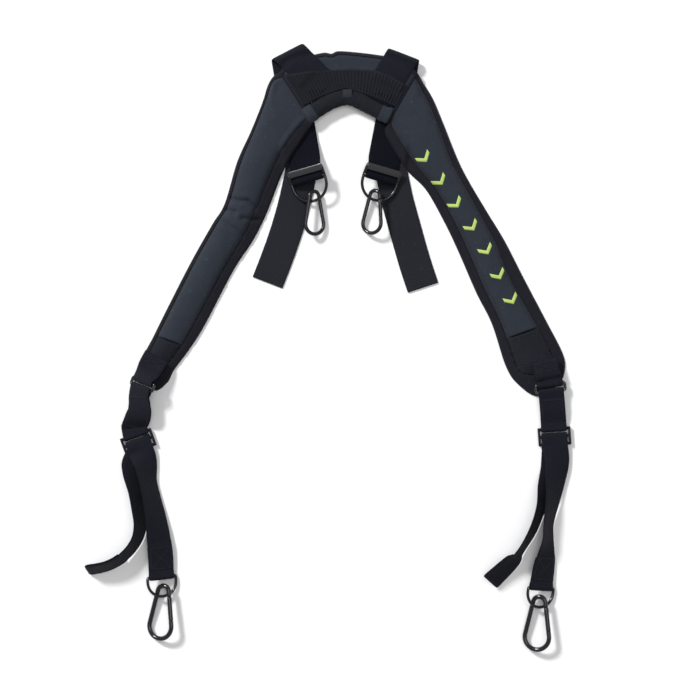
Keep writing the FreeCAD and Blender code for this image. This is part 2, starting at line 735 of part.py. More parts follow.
def ladder_lock(side):
    """A three-bar adjuster with flat side rails."""
    label = f"ladder_lock_{side}"
    half = size("lock_half_width")
    pitch = size("lock_pitch")
    rail = size("lock_rail") / 2
    deep = pitch + size("lock_bar") / 2
    flat_half = size("lock_thick") / 2
    parts = []
    for row in (-1, 0, 1):
        left, right = V(-half, row * pitch, 0), V(half, row * pitch, 0)
        parts.append(rod(f"{label}_bar{row}", left, right, "sizes.lock_bar"))
    for x in (-half, half):
        low, high = V(x - rail, -deep, -flat_half), V(x + rail, deep, flat_half)
        parts.append(block(f"{label}_rail{x > 0:d}", low, high))
    return fuse(label, parts)


def strap_end(place, above, wire):
    """Where a sewn strap meets its loop round a bar: above is +1 if the strap lies up local y."""
    edge = wire / 2 + size("webbing_clearance") + THICK / 2
    return [shifted(place, 0, above * (LOOP_OUTER + 3)), shifted(place, 0, above * edge)]


def bar_room(place):
    """The round space inside a loop of webbing, far longer than the loop."""
    return Part.makeCylinder(EYE, 200, reach(place, -100), place.Rotation.multVec(V(1, 0, 0)))


def sewn(stations, ends, loops, ply):
    """Webbing along stations that runs into the given places and carries loops at them."""
    places = list(ends[0]) + [pose(x, y, z, yaw, slope, roll) for x, y, z, yaw, slope, roll in stations]
    places += list(ends[1])
    body = ribbon(places, 2 * HALF_STRAP, [ply] * len(places))
    for place in loops:
        body = body.cut(bar_room(place))
    return body.fuse([wrap(place, 2 * HALF_STRAP, size("ring_wire")) for place in loops])


def between(a, b, stations):
    """Fills in yaw and slope for the stations that lie between two places."""
    points = [a.Base] + [V(x, y, z) for x, y, z, _ in stations] + [b.Base]
    filled = []
    for index, (x, y, z, roll) in enumerate(stations, start=1):
        ahead = points[index + 1] - points[index - 1]
        yaw = math.degrees(math.atan2(ahead.x, -ahead.y))
        slope = math.degrees(math.atan2(-ahead.z, math.hypot(ahead.x, ahead.y)))
        filled.append((x, y, z, yaw, slope, roll))
    return filled


DOUBLE = 2 * THICK
for side in SIDES:
    front = FRONT[side]
    keep(ring(side), f"ring_{side}", front["ring"])
    upper = bar_of(front["ring"], size("ring_reach") / 2)
    lower = bar_of(front["ring"], -size("ring_reach") / 2)
    top_bar = bar_of(front["lock"], size("lock_pitch"))
    keep(ladder_lock(side), f"ladder_lock_{side}", front["lock"])

    end = strap_end(upper, 1, size("ring_wire"))
    tab = between(pose(*front["tab"][0][:3]), end[0], front["tab"])
    webbing(f"pad_tab_{side}", sewn(tab, ([], end), [upper], THICK))

    first = strap_end(lower, -1, size("ring_wire"))[::-1]
    last = strap_end(top_bar, 1, size("lock_bar"))
    middle = between(first[1], last[0], front["connector"])
    webbing(f"connector_{side}", sewn(middle, (first, last), [lower, top_bar], DOUBLE))

    whole = wrap(front["lock"], 2 * HALF_STRAP, size("lock_bar"))
    half_space = Part.makeBox(60, 20, 40, V(-30, 0, -20))
    half_space.Placement = front["lock"] * half_space.Placement
    webbing(f"adjust_bend_{side}", whole.common(half_space))

# ---------------------------------------------------------------- adjusting straps and tails
OVER = size("lock_bar") / 2 + size("webbing_clearance") + THICK / 2
STRAPS = {
    "left": {
        "run": [
            (-221.0, -137.0, 7.4, 4),
            (-218.5, -156.0, 9.2, 4),
            (-212.5, -178.0, 11.4, 4),
            (-207.5, -200.0, 13.2, 8),
            (-203.5, -222.0, 13.4, 15),
            (-200.0, -244.0, 10.4, 20),
        ],
        "tail": [
            (-208.5, -188.0, 1.1, 0),
            (-208.0, -203.0, 1.6, 2),
            (-211.5, -218.0, 6.0, 20),
            (-221.5, -234.5, 12.2, 52),
            (-236.0, -248.5, 15.0, 72),
            (-256.0, -258.5, 15.2, 74),
            (-284.0, -261.0, 15.4, 74),
        ],
    },
    "right": {
        "run": [
            (269.0, -132.0, 8.0, 12),
            (267.3, -150.0, 12.0, 30),
            (264.0, -175.0, 14.5, 48),
            (258.5, -205.0, 14.6, 60),
            (257.5, -225.0, 14.0, 58),
            (254.0, -252.0, 10.6, 34),
        ],
        "tail": [
            (266.0, -130.5, 1.1, 0),
            (264.5, -146.0, 1.6, 3),
            (258.0, -166.0, 7.2, 26),
            (249.0, -190.0, 13.9, 60),
            (239.0, -215.0, 14.6, 64),
            (222.0, -243.0, 14.0, 56),
            (190.5, -274.5, 13.4, 50),
        ],
    },
}


def front_strap(side):
    """The adjusting strap from the lock down to its sewn loop round the D-ring."""
    lock = FRONT[side]["lock"]
    bar = FRONT[side]["dee"]
    start = [shifted(lock, 0, y, OVER) for y in (-0.3, -13.0)]
    end = strap_end(bar, 1, size("dee_wire"))
    run = STRAPS[side]["run"]
    stations = between(start[1], end[0], run)
    places = start + [pose(x, y, z, yaw, slope, roll) for x, y, z, yaw, slope, roll in stations] + end
    single = ribbon(places[:-3], 2 * HALF_STRAP, [THICK] * (len(places) - 3))
    hem = ribbon(places[-4:], 2 * HALF_STRAP, [THICK] + [DOUBLE] * 3)
    return single.fuse([hem.cut(bar_room(bar)), wrap(bar, 2 * HALF_STRAP, size("dee_wire"))])


for side in SIDES:
    front = FRONT[side]
    webbing(f"adjust_strap_{side}", front_strap(side))
    stations = STRAPS[side]["tail"]
    places = trail(stations, 14, HALF_STRAP + THICK / 2)
    thicks = [THICK] * (len(places) - 2) + [DOUBLE] * 2
    webbing(f"strap_tail_{side}", ribbon(places, 2 * HALF_STRAP, thicks))
    label = f"dee_ring_{side}"
    keep(dee(label, "dee_half_width", "dee_wire", "dee_wire", "dee_leg"), label, front["dee"])
    bow = reach(front["dee"], 0, -size("dee_leg") - size("dee_half_width"))
    swung = pose(bow.x, bow.y, bow.z, front["hook_yaw"], 0, front["hook_roll"])
    hook("lower", side, shifted(swung, 0, LINK_DROP))


# ---------------------------------------------------------------- check and write
LAYOUT_MIDDLE = V(0.25, 0.05, 0.0)  # the point of the layout that becomes the origin


def finish():
    doc.recompute()
    for obj in doc.Objects:
        bad = {"Invalid", "Error"} & set(obj.State)
        if bad:
            raise SystemExit(f"{obj.Name} failed: {obj.State}")
    names = [obj.Label for obj in nodes]
    if len(set(names)) != len(names):
        raise SystemExit("two sub-parts share a name")
    for obj in nodes:
        if obj.Shape.isNull() or not obj.Shape.isValid():
            raise SystemExit(f"{obj.Label} has no valid shape")
    os.makedirs("parts", exist_ok=True)
    for obj in nodes:
        obj.Placement = FreeCAD.Placement(V(0, 0, 0) - LAYOUT_MIDDLE, FreeCAD.Rotation()) * obj.Placement
    doc.recompute()
    for obj in nodes:
        obj.Shape.exportStep(f"parts/{obj.Label}.step")
    print(len(nodes), "nodes")


finish()
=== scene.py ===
import json
import math

import bmesh
import bpy
import numpy as np
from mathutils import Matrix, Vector, geometry, noise


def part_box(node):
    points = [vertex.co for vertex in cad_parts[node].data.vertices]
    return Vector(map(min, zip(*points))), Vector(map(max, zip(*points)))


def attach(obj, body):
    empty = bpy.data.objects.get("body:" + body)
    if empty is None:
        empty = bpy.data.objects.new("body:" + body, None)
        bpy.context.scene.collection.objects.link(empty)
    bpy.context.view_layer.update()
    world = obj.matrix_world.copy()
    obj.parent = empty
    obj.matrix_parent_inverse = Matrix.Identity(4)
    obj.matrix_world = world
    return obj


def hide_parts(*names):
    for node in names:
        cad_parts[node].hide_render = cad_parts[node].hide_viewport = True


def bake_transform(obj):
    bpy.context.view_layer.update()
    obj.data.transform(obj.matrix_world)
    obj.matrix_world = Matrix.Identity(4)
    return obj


# Padded shoulder harness, lying face up.  Lengths in metres, in the frame's own axes.
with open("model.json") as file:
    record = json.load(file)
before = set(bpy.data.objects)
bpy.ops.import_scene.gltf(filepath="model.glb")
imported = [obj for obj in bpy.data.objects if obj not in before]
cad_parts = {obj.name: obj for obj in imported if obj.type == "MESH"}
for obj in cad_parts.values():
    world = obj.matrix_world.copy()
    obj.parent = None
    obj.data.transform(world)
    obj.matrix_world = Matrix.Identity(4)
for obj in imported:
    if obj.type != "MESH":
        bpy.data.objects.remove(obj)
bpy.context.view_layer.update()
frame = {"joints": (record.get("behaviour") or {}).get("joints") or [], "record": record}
MM = 0.001
SIDES = {"left": -1, "right": 1}
joints = {j["name"]: j for j in frame["joints"]}
mounts = {m["name"]: m for m in frame["record"]["mounts"]}
ORIGIN = np.array((0.25, 0.05, 0.0)) * MM  # the layout's own zero, seen from the frame
X, Y, Z = np.eye(3)


# ---------------------------------------------------------------- materials
def material(name, color, rough, sheen=0.0, coat=0.0, gloss=0.5):
    """A dielectric shader that the cloth and the black finishes build on."""
    mat = bpy.data.materials.new(name)
    mat.use_nodes = True
    shader = mat.node_tree.nodes["Principled BSDF"]
    shader.inputs["Base Color"].default_value = (*color, 1)
    shader.inputs["Roughness"].default_value = rough
    shader.inputs["Metallic"].default_value = 0.0
    shader.inputs["Sheen Weight"].default_value = sheen
    shader.inputs["Sheen Roughness"].default_value = 0.4
    shader.inputs["Specular IOR Level"].default_value = gloss
    shader.inputs["Coat Weight"].default_value = coat
    shader.inputs["Coat Roughness"].default_value = 0.08
    return mat, mat.node_tree, shader


def add(tree, kind, **inputs):
    """A new node with its sockets or settings given by name."""
    node = tree.nodes.new(kind)
    for key, value in inputs.items():
        name = key.replace("_", " ")
        if name in node.inputs:
            node.inputs[name].default_value = value
        else:
            setattr(node, key, value)
    return node


def math_node(tree, operation, a, b):
    node = add(tree, "ShaderNodeMath", operation=operation)
    for socket, value in zip(node.inputs, (a, b)):
        if isinstance(value, (int, float)):
            socket.default_value = value
        else:
            tree.links.new(value, socket)
    return node.outputs[0]


def noise_map(tree, coords, scale, detail, rough):
    node = add(tree, "ShaderNodeTexNoise", Scale=scale, Detail=detail, Roughness=rough)
    tree.links.new(coords.outputs["Object"], node.inputs["Vector"])
    return node.outputs["Fac"]


def ranged(tree, value, **limits):
    node = add(tree, "ShaderNodeMapRange", **limits)
    tree.links.new(value, node.inputs["Value"])
    return node.outputs["Result"]


def mixed(tree, factor, first, second):
    """A mix of two colours, each given as a colour or as another node's output."""
    node = tree.nodes.new("ShaderNodeMix")
    node.data_type = "RGBA"
    for name, value in (("A", first), ("B", second)):
        if isinstance(value, tuple):
            node.inputs[name].default_value = (*value, 1)
        else:
            tree.links.new(value, node.inputs[name])
    tree.links.new(factor, node.inputs["Factor"])
    return node.outputs["Result"]


def bumped(tree, shader, height, strength, distance):
    bump = add(tree, "ShaderNodeBump", Strength=strength, Distance=distance)
    tree.links.new(height, bump.inputs["Height"])
    tree.links.new(bump.outputs["Normal"], shader.inputs["Normal"])


def weave(tree, vector, across, along):
    """The two sets of threads of a plain weave, as wave heights."""
    bands = []
    for direction, pitch in (("X", across), ("Y", along)):
        kind = {"wave_type": "BANDS", "wave_profile": "SIN", "bands_direction": direction}
        sizes = {"Scale": math.pi / 10 / pitch, "Distortion": 0.25, "Detail": 1.0, "Detail_Scale": 2.0}
        wave = add(tree, "ShaderNodeTexWave", **kind, **sizes)
        tree.links.new(vector, wave.inputs["Vector"])
        bands.append(wave.outputs["Fac"])
    return bands


def cloth(name, color, valley_shade, threads, depth, sheen, worn=0.35, follows=False, gloss=0.22):
    """Woven cloth.  Thread widths and depth are in millimetres.  The weave can follow a strap's length."""
    mat, tree, shader = material(name, color, 0.8, sheen=sheen, gloss=gloss)
    coords = tree.nodes.new("ShaderNodeTexCoord")
    vector = coords.outputs["UV" if follows else "Object"]
    first, second = weave(tree, vector, threads[0] * MM, threads[1] * MM)
    height = math_node(tree, "MULTIPLY", first, second)
    fuzz = noise_map(tree, coords, 900.0, 3.0, 0.7)
    patches = noise_map(tree, coords, 26.0, 4.0, 0.6)
    lint = noise_map(tree, coords, 260.0, 2.0, 0.5)
    # The weave's valleys are painted darker, towards the valley colour, as painted shade between the
    # threads; random patches of tone are mixed in.
    raised = math_node(tree, "MULTIPLY", height, 0.6)
    shade_and_patches = math_node(tree, "ADD", raised, math_node(tree, "MULTIPLY", patches, 0.5))
    specks = ranged(tree, lint, From_Min=0.66, From_Max=0.82, To_Max=worn)
    dusty = tuple(min(1.0, c * 2.6 + 0.012) for c in color)
    shade = mixed(tree, specks, mixed(tree, shade_and_patches, valley_shade, color), dusty)
    tree.links.new(shade, shader.inputs["Base Color"])
    total = math_node(tree, "ADD", height, math_node(tree, "MULTIPLY", fuzz, 0.6))
    bumped(tree, shader, total, 0.9, depth * MM)
    return mat


def finish(name, color, rough, coat, gloss=0.4):
    """A black finish on metal, with faint handling marks and rubbed patches."""
    mat, tree, shader = material(name, color, rough, coat=coat, gloss=gloss)
    coords = tree.nodes.new("ShaderNodeTexCoord")
    marks = noise_map(tree, coords, 140.0, 5.0, 0.6)
    rub = noise_map(tree, coords, 420.0, 6.0, 0.75)
    spread = ranged(tree, marks, To_Min=rough * 0.7, To_Max=rough * 1.6)
    tree.links.new(spread, shader.inputs["Roughness"])
    bare = ranged(tree, rub, From_Min=0.68, From_Max=0.78)
    tree.links.new(mixed(tree, bare, color, (0.03, 0.03, 0.035)), shader.inputs["Base Color"])
    bumped(tree, shader, marks, 0.15, 0.1 * MM)
    return mat


MESH = cloth("charcoal_mesh", (0.028, 0.035, 0.049), (0.012, 0.016, 0.024), (1.3, 1.3), 0.4, 0.06)
TAPE = cloth("black_binding", (0.009, 0.009, 0.016), (0.003, 0.003, 0.007), (1.0, 1.0), 0.3, 0.03)
TOE = cloth("toe_mesh", (0.009, 0.0115, 0.019), (0.004, 0.005, 0.009), (2.3, 2.3), 0.6, 0.03)


def webbing(name, color, valley_shade, sheen, gloss=0.22):
    return cloth(name, color, valley_shade, (2.1, 1.4), 0.5, sheen, follows=True, gloss=gloss)


WEBBING = webbing("black_webbing", (0.0078, 0.0086, 0.0168), (0.0034, 0.0038, 0.0078), 0.03, 0.16)
REAR_WEBBING = webbing("rear_webbing", (0.0150, 0.0160, 0.0235), (0.0060, 0.0064, 0.0100), 0.04)
# A darker copy of the webbing, as painted shade: used on the rear straps where the yoke and pads shade them.
PAINTED_SHADE_WEBBING = webbing("painted_shade_webbing", (0.0036, 0.0042, 0.0098), (0.0018, 0.0020, 0.0050), 0.01, 0.1)
RIBBED = cloth("ribbed_cloth", (0.009, 0.010, 0.016), (0.003, 0.004, 0.007), (0.9, 0.9), 0.3, 0.04)
LIME = cloth("lime_thread", (0.66, 0.80, 0.27), (0.36, 0.50, 0.10), (0.7, 5.0), 0.3, 0.2, worn=0.1)
LABEL = cloth("label_cloth", (0.028, 0.030, 0.040), (0.014, 0.015, 0.020), (0.8, 0.8), 0.2, 0.05)
THREAD = cloth("black_thread", (0.026, 0.027, 0.036), (0.010, 0.010, 0.014), (0.5, 0.5), 0.1, 0.1)
BLACK_METAL = finish("gloss_black_metal", (0.006, 0.006, 0.009), 0.14, 0.25)
# The slider plate is the same black metal as the wire. Its lighter base colour is painted glare, and its
# strong coat gives real reflections.
SATIN_WITH_PAINTED_GLARE = finish("satin_metal_with_painted_glare", (0.014, 0.014, 0.018), 0.24, 0.8)
MATT = finish("matt_black_metal", (0.007, 0.007, 0.012), 0.5, 0.0, 0.12)
STEEL = finish("rivet_steel", (0.05, 0.05, 0.055), 0.25, 0.3)


# ---------------------------------------------------------------- mesh helpers
def mesh_object(name, mesh, mat, body=None, uvs=None):
    """A smooth-shaded piece from its points and faces, riding on a body."""
    points, faces = mesh
    data = bpy.data.meshes.new(name)
    data.from_pydata([tuple(map(float, p)) for p in points], [], faces)
    if uvs is not None:
        layer = data.uv_layers.new(name="UVMap")
        for loop in data.loops:
            layer.data[loop.index].uv = uvs[loop.vertex_index]
    data.polygons.foreach_set("use_smooth", [True] * len(data.polygons))
    data.materials.append(mat)
    data.validate()
    obj = bpy.data.objects.new(name, data)
    bpy.context.scene.collection.objects.link(obj)
    if body:
        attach(obj, body)
    return obj


def unit(v):
    v = np.asarray(v, float)
    return v / np.linalg.norm(v)


def headings(points):
    """The unit direction of travel at each point of a line."""
    ahead = np.gradient(points, axis=0)
    return ahead / np.linalg.norm(ahead, axis=1)[:, None]


def lengths_along(points):
    """How far along its line each point lies."""
    return np.concatenate([[0], np.cumsum(np.linalg.norm(np.diff(points, axis=0), axis=1))])


def sampled(points, far, at):
    """Every column of some points, read off at other lengths along their line."""
    return np.stack([np.interp(at, far, points[:, k]) for k in range(points.shape[1])], 1)


def smooth_line(points, count):
    """Points spaced evenly along a Catmull-Rom line through the given ones."""
    p = np.asarray(points, float)
    p = np.concatenate([2 * p[:1] - p[1:2], p, 2 * p[-1:] - p[-2:-1]])
    t = np.linspace(0, 1, 24, endpoint=False)[:, None]
    dense = []
    for a, b, c, d in zip(p, p[1:], p[2:], p[3:]):
        square, cube = 2 * a - 5 * b + 4 * c - d, 3 * b - a - 3 * c + d
        dense.append(0.5 * (2 * b + (c - a) * t + square * t**2 + cube * t**3))
    dense.append(p[-2:-1])
    dense = np.concatenate(dense)
    far = lengths_along(dense[:, :3])
    return sampled(dense, far, np.linspace(0, far[-1], count))


def skin(rings, around, closed=False):
    """Faces over a stack of rings of points.  An open stack gets a face at each end."""
    faces = []
    for i in range(rings if closed else rings - 1):
        a, b = i * around, ((i + 1) % rings) * around
        faces += [(a + k, a + (k + 1) % around, b + (k + 1) % around, b + k) for k in range(around)]
    if not closed:
        faces.append(tuple(range(around))[::-1])
        faces.append(tuple(range((rings - 1) * around, rings * around)))
    return faces


def turned_over(faces):
    """The same faces, looking the other way."""
    return [(face[0], *face[:0:-1]) if len(face) == 4 else face[::-1] for face in faces]


def tube(path, radius, closed=False, sides=14):
    """Points and faces of a round rod along a path.  The radius can change from point to point."""
    p = np.asarray(path, float)
    if closed:
        ahead = np.roll(p, -1, 0) - np.roll(p, 1, 0)
        ahead = ahead / np.linalg.norm(ahead, axis=1)[:, None]
    else:
        ahead = headings(p)
    side = np.cross(ahead[0], Z)
    side = unit(side if np.linalg.norm(side) > 0.1 else np.cross(ahead[0], X))
    a = np.linspace(0, 2 * math.pi, sides, endpoint=False)
    rings = []
    for centre, way, size in zip(p, ahead, np.broadcast_to(radius, (len(p),))):
        side = unit(side - way * np.dot(side, way))
        up = np.cross(side, way)
        rings.append(centre + size * (np.outer(np.cos(a), side) + np.outer(np.sin(a), up)))
    return np.concatenate(rings), skin(len(p), sides, closed)


def sheet_mesh(top, rows, columns, thick):
    """A closed sheet below some points that are given row by row."""
    count = rows * columns
    faces = []
    for i in range(rows - 1):
        for k in range(columns - 1):
            a = i * columns + k
            quad = (a, a + 1, a + columns + 1, a + columns)
            faces += [quad, tuple(v + count for v in quad[::-1])]
    rim = list(range(columns)) + [i * columns + columns - 1 for i in range(1, rows)]
    rim += [(rows - 1) * columns + k for k in range(columns - 2, -1, -1)]
    rim += [i * columns for i in range(rows - 2, 0, -1)]
    faces += [(b, a, a + count, b + count) for a, b in zip(rim, rim[1:] + rim[:1])]
    return np.vstack([top, top - Z * thick]), faces


def merged(parts):
    """Several meshes as one."""
    points, faces, offset = [], [], 0
    for p, f in parts:
        points.append(np.asarray(p, float))
        faces += [tuple(v + offset for v in face) for face in f]
        offset += len(p)
    return np.concatenate(points), faces


# ---------------------------------------------------------------- places
class Place:
    """A point with local axes: x across a strap, y up it and z off its face."""

    def __init__(self, base, x, y):
        self.base = np.asarray(base, float)
        self.x = unit(x)
        self.z = unit(np.cross(self.x, y))
        self.y = np.cross(self.z, self.x)

    def at(self, x=0.0, y=0.0, z=0.0):
        return self.base + self.x * x + self.y * y + self.z * z

    def moved(self, x=0.0, y=0.0, z=0.0):
        return Place(self.at(x, y, z), self.x, self.y)

    def put(self, mesh):
        """A mesh in local axes, brought to this place."""
        points, faces = mesh
        return self.base + np.asarray(points, float) @ np.array((self.x, self.y, self.z)), faces


WEB = 1.7 * MM
HALF_STRAP = 15.0 * MM
HALF_REAR = 19.0 * MM
WIRE = 1.75 * MM  # the radius of every ring and bar at the front
RING_HALF = 17.3 * MM
RING_REACH = 9.0 * MM
LOCK_PITCH = 9.0 * MM
HOOKS = {
    "lower": {"wire": 5.5 * MM, "eye": 7.5 * MM, "belly": 14.75 * MM, "span": 40.3 * MM},
    "rear": {"wire": 4.5 * MM, "eye": 6.25 * MM, "belly": 11.75 * MM, "span": 32.5 * MM},
}


def joint_at(name):
    return np.array(joints[name]["pos_m"], float)


def joint_axis(name):
    return np.array(joints[name]["axis"], float)


def loop_place(side):
    tilt = f"rear_slider_tilt_{side}"
    return Place(joint_at(tilt), -joint_axis(tilt), -joint_axis(f"rear_adjust_{side}"))


def slider_place(side):
    bar = joint_at(f"rear_slider_tilt_{side}")
    return Place(bar, -joint_axis(f"rear_hook_swing_{side}"), bar - joint_at(f"rear_hook_swing_{side}"))


def ring_place(side):
    up, low = joint_at(f"ring_swing_{side}"), joint_at(f"connector_swing_{side}")
    return Place((up + low) / 2, -joint_axis(f"ring_swing_{side}"), up - low)


def lock_place(side):
    x, y = -joint_axis(f"lock_tilt_{side}"), joint_axis(f"tail_slide_{side}")
    return Place(joint_at(f"lock_tilt_{side}") - y * LOCK_PITCH, x, y)


def dee_place(side):
    bar = joint_at(f"dee_swing_{side}")
    return Place(bar, -joint_axis(f"dee_swing_{side}"), bar - joint_at(f"hook_swing_{side}"))


def hook_place(kind, side):
    """The middle of a hook's eye, found from its grip and its gate's pin."""
    h = HOOKS[kind]
    grip = mounts[f"{kind}_hook_{side}_grip"]
    gate = "gate_open_" if kind == "lower" else "rear_gate_open_"
    y = -np.array(grip["axis"], float)
    z = -joint_axis(gate + side)
    base = np.array(grip["pos_m"], float) + y * (h["span"] + h["belly"] - h["wire"] / 2)
    return Place(base, np.cross(y, z), y)


def layout(points):
    """Layout positions in millimetres as frame positions in metres."""
    p = np.array(points, float)
    if p.shape[1] == 2:
        p = np.hstack([p, np.zeros((len(p), 1))])
    return p * MM - ORIGIN


def flat_layout(points):
    return layout(points)[:, :2]


def smooth01(t):
    t = np.clip(t, 0, 1)
    return t * t * (3 - 2 * t)


def ridge(distance, width):
    """1 on a line, falling off to both sides of it over about that width."""
    return np.exp(-((distance / width) ** 2))


def rounded_edge(distance, radius):
    """0 at a rim, rising on a quarter round to 1 at that radius from it."""
    return np.sqrt(np.clip(1 - (1 - np.clip(distance / radius, 0, 1)) ** 2, 0, 1))


def rumple(points, size, seed=0.0):
    """Smooth noise from -1 to 1 at each point, with lumps of about that size."""
    return np.array([noise.noise(Vector((p[0] / size + seed, p[1] / size - seed, seed))) for p in points])


# ---------------------------------------------------------------- sewn regions
def inside(points, loop):
    """Whether each point lies inside a closed loop."""
    x, y = points[:, 0], points[:, 1]
    odd = np.zeros(len(points), bool)
    for (x0, y0), (x1, y1) in zip(loop, np.roll(loop, -1, 0)):
        if y0 == y1:
            continue
        crosses = (y0 > y) != (y1 > y)
        odd ^= crosses & (x < (x1 - x0) * (y - y0) / (y1 - y0) + x0)
    return odd


def gap_to(points, line):
    """Distance from each point to a line of straight pieces."""
    a, b = line[:-1], line[1:]
    run = b - a
    best = np.full(len(points), np.inf)
    for start, step, square in zip(a, run, np.maximum((run**2).sum(1), 1e-14)):
        share = np.clip(((points - start) @ step) / square, 0, 1)
        best = np.minimum(best, np.linalg.norm(points - start - share[:, None] * step, axis=1))
    return best


def triangulate(outline, seams, spacing):
    """Triangles filling an outline, with the seam lines kept as edges."""
    low, high = outline.min(0), outline.max(0)
    columns = np.arange(low[0], high[0], spacing)
    rows = np.arange(low[1], high[1], spacing * 0.866)
    grid = np.array([(x + (i % 2) * spacing / 2, y) for i, y in enumerate(rows) for x in columns])
    lines = [np.concatenate([outline, outline[:1]])] + seams
    grid = grid[inside(grid, outline)]
    near = np.min([gap_to(grid, line) for line in lines], axis=0)
    grid = grid[near > spacing * 0.55]
    points = [tuple(p) for p in outline]
    edges = [(i, (i + 1) % len(outline)) for i in range(len(outline))]
    for line in seams:
        first = len(points)
        points += [tuple(p) for p in line]
        edges += [(first + i, first + i + 1) for i in range(len(line) - 1)]
    points += [tuple(p) for p in grid]
    made = geometry.delaunay_2d_cdt([Vector(p) for p in points], edges, [], 0, 1e-6)
    verts = np.array([tuple(v) for v in made[0]])
    faces = [tuple(f) for f in made[2]]
    middles = np.array([verts[list(f)].mean(0) for f in faces])
    kept = inside(middles, outline)
    return verts, [f for f, k in zip(faces, kept) if k], middles[kept]


def solid(verts, faces, top, bottom):
    """A closed piece over some triangles, between a top and a bottom height."""
    used = sorted({v for f in faces for v in f})
    index = {v: i for i, v in enumerate(used)}
    count = len(used)
    flat = verts[used]
    points = np.vstack([np.column_stack([flat, top[used]]), np.column_stack([flat, bottom[used]])])
    result, edges = [], {}
    for face in faces:
        a, b, c = (index[v] for v in face)
        pa, pb, pc = flat[a], flat[b], flat[c]
        if (pb[0] - pa[0]) * (pc[1] - pa[1]) - (pb[1] - pa[1]) * (pc[0] - pa[0]) < 0:
            b, c = c, b
        result += [(a, b, c), (c + count, b + count, a + count)]
        edges.update(dict.fromkeys(((a, b), (b, c), (c, a))))
    result += [(b, a, a + count, b + count) for a, b in edges if (b, a) not in edges]
    return points, result


def stitches(points, normals, pitch, length=2.1 * MM, radius=0.3 * MM):
    """A row of thread stitches along a line that lies on a surface."""
    far = lengths_along(points)
    parts = []
    for at in np.arange(pitch / 2, far[-1] - pitch / 2, pitch):
        start, middle, end = sampled(points, far, at + np.array((-1, 0, 1)) * length / 2)
        up = unit(sampled(normals, far, [at])[0]) * radius
        path = [start - up * 0.8, start + up * 0.2, middle + up * 0.6, end + up * 0.2, end - up * 0.8]
        parts.append(tube(path, radius, sides=5))
    return parts


def stitched_over(line, height, pitch):
    """Stitches along a flat line, on a surface of that height."""
    return stitches(np.column_stack([line, height(line)]), np.tile(Z, (len(line), 1)), pitch)


def offset_line(line, amount):
    """A line moved sideways to its left."""
    ahead = headings(line)
    return line + np.column_stack([-ahead[:, 1], ahead[:, 0]]) * amount


# ---------------------------------------------------------------- where the sewn parts meet
SEAMS = {
    "left": flat_layout([(-58.5, 326.0), (-19.5, 266.0)]),
    "right": flat_layout([(103.3, 326.0), (69.0, 266.0)]),
}
FOLDS = {
    "left": flat_layout([(-66.7, 341.6), (-34.8, 358.1)]),
    "right": flat_layout([(71.4, 353.4), (105.6, 340.4)]),
}
SEAM_GAP = 0.4 * MM
PAD_SEAM_HEIGHT = 12.6 * MM
YOKE_SEAM_HEIGHT = 12.4 * MM
STRAP_LOW = 3.0 * MM  # the middle of a rear strap below the yoke
STRAP_LIFT = 4.4 * MM  # how far that strap lifts what lies on it
TAB_LENGTH = 40.0 * MM
SPACING = 1.9 * MM  # between the points of a sewn cover
STITCH = 2.8 * MM  # from one stitch to the next


def seam_line(side, away, count=40):
    """The seam of a pad and the yoke, moved out from the neck."""
    top, bottom = SEAMS[side]
    along = bottom - top
    normal = unit((-along[1], along[0]))
    out = normal if normal[0] * SIDES[side] > 0 else -normal
    return np.linspace(top + out * away, bottom + out * away, count)


def rear_line(side):
    """The middle of a rear strap's fold, and the direction from there to the slider's bar, flat."""
    head = FOLDS[side].mean(0)
    return head, unit(loop_place(side).base[:2] - head)


def over_strap(points):
    """How much each point is lifted by a rear strap below it.  The lift eases off past the strap's edges."""
    lift = np.zeros(len(points))
    for side in SIDES:
        head, down = rear_line(side)
        far = np.abs((points - head) @ np.array((-down[1], down[0])))
        along = (points - head) @ down
        band = smooth01((30 * MM - far) / (8 * MM))
        band *= smooth01((150 * MM - along) / (12 * MM)) * smooth01((along + 30 * MM) / (12 * MM))
        lift = np.maximum(lift, band)
    return lift * STRAP_LIFT


# ---------------------------------------------------------------- shoulder pads
# A station is the outer edge, the inner edge, and the width of the border at each, in millimetres.
PADS = {
    "left": {
        "shoulder": [((-65.6, 322.0), (-65.3, 316.0)), ((-73.0, 311.0), (-70.2, 306.4))],
        "stations": [
            ((-79.3, 291.0), (-32.5, 247.0), 4, 12), ((-93.0, 257.0), (-46.0, 225.5), 4, 13),
            ((-109.1, 221.2), (-57.5, 203.0), 5, 13), ((-124.0, 171.5), (-74.0, 160.5), 5, 14),
            ((-138.7, 146.9), (-90.3, 128.0), 5, 13), ((-163.4, 103.2), (-113.5, 92.5), 5, 12),
            ((-190.6, 50.1), (-146.9, 28.9), 5, 12), ((-207.5, 16.0), (-164.6, 0.6), 5, 11),
            ((-221.5, -12.0), (-183.5, -25.0), 6, 10),
        ],
        "tip": [(-221.0, -27.0), (-207.5, -49.5), (-192.0, -40.5)],
        "core_tip": [(-213.5, -22.5), (-200.0, -29.0)],
    },
    "right": {
        "shoulder": [],
        "stations": [
            ((121.0, 298.5), (66.0, 254.0), 7, 11), ((134.0, 268.5), (79.5, 229.5), 7, 12),
            ((151.0, 226.0), (94.0, 208.5), 8, 13), ((164.5, 199.0), (115.0, 187.0), 8, 11),
            ((187.0, 161.1), (137.5, 147.0), 9, 11), ((207.1, 128.0), (154.0, 112.0), 11, 11),
            ((230.7, 82.0), (174.0, 66.0), 15, 11), ((256.5, 33.0), (192.5, 29.0), 14, 11),
            ((275.5, -4.1), (209.0, -21.0), 13, 12),
        ],
        "tip": [(279.2, -23.0), (272.5, -40.5), (247.2, -56.5), (223.5, -42.5)],
        "core_tip": [(264.0, -19.0), (257.0, -29.0), (238.0, -31.0), (227.0, -27.0)],
    },
}
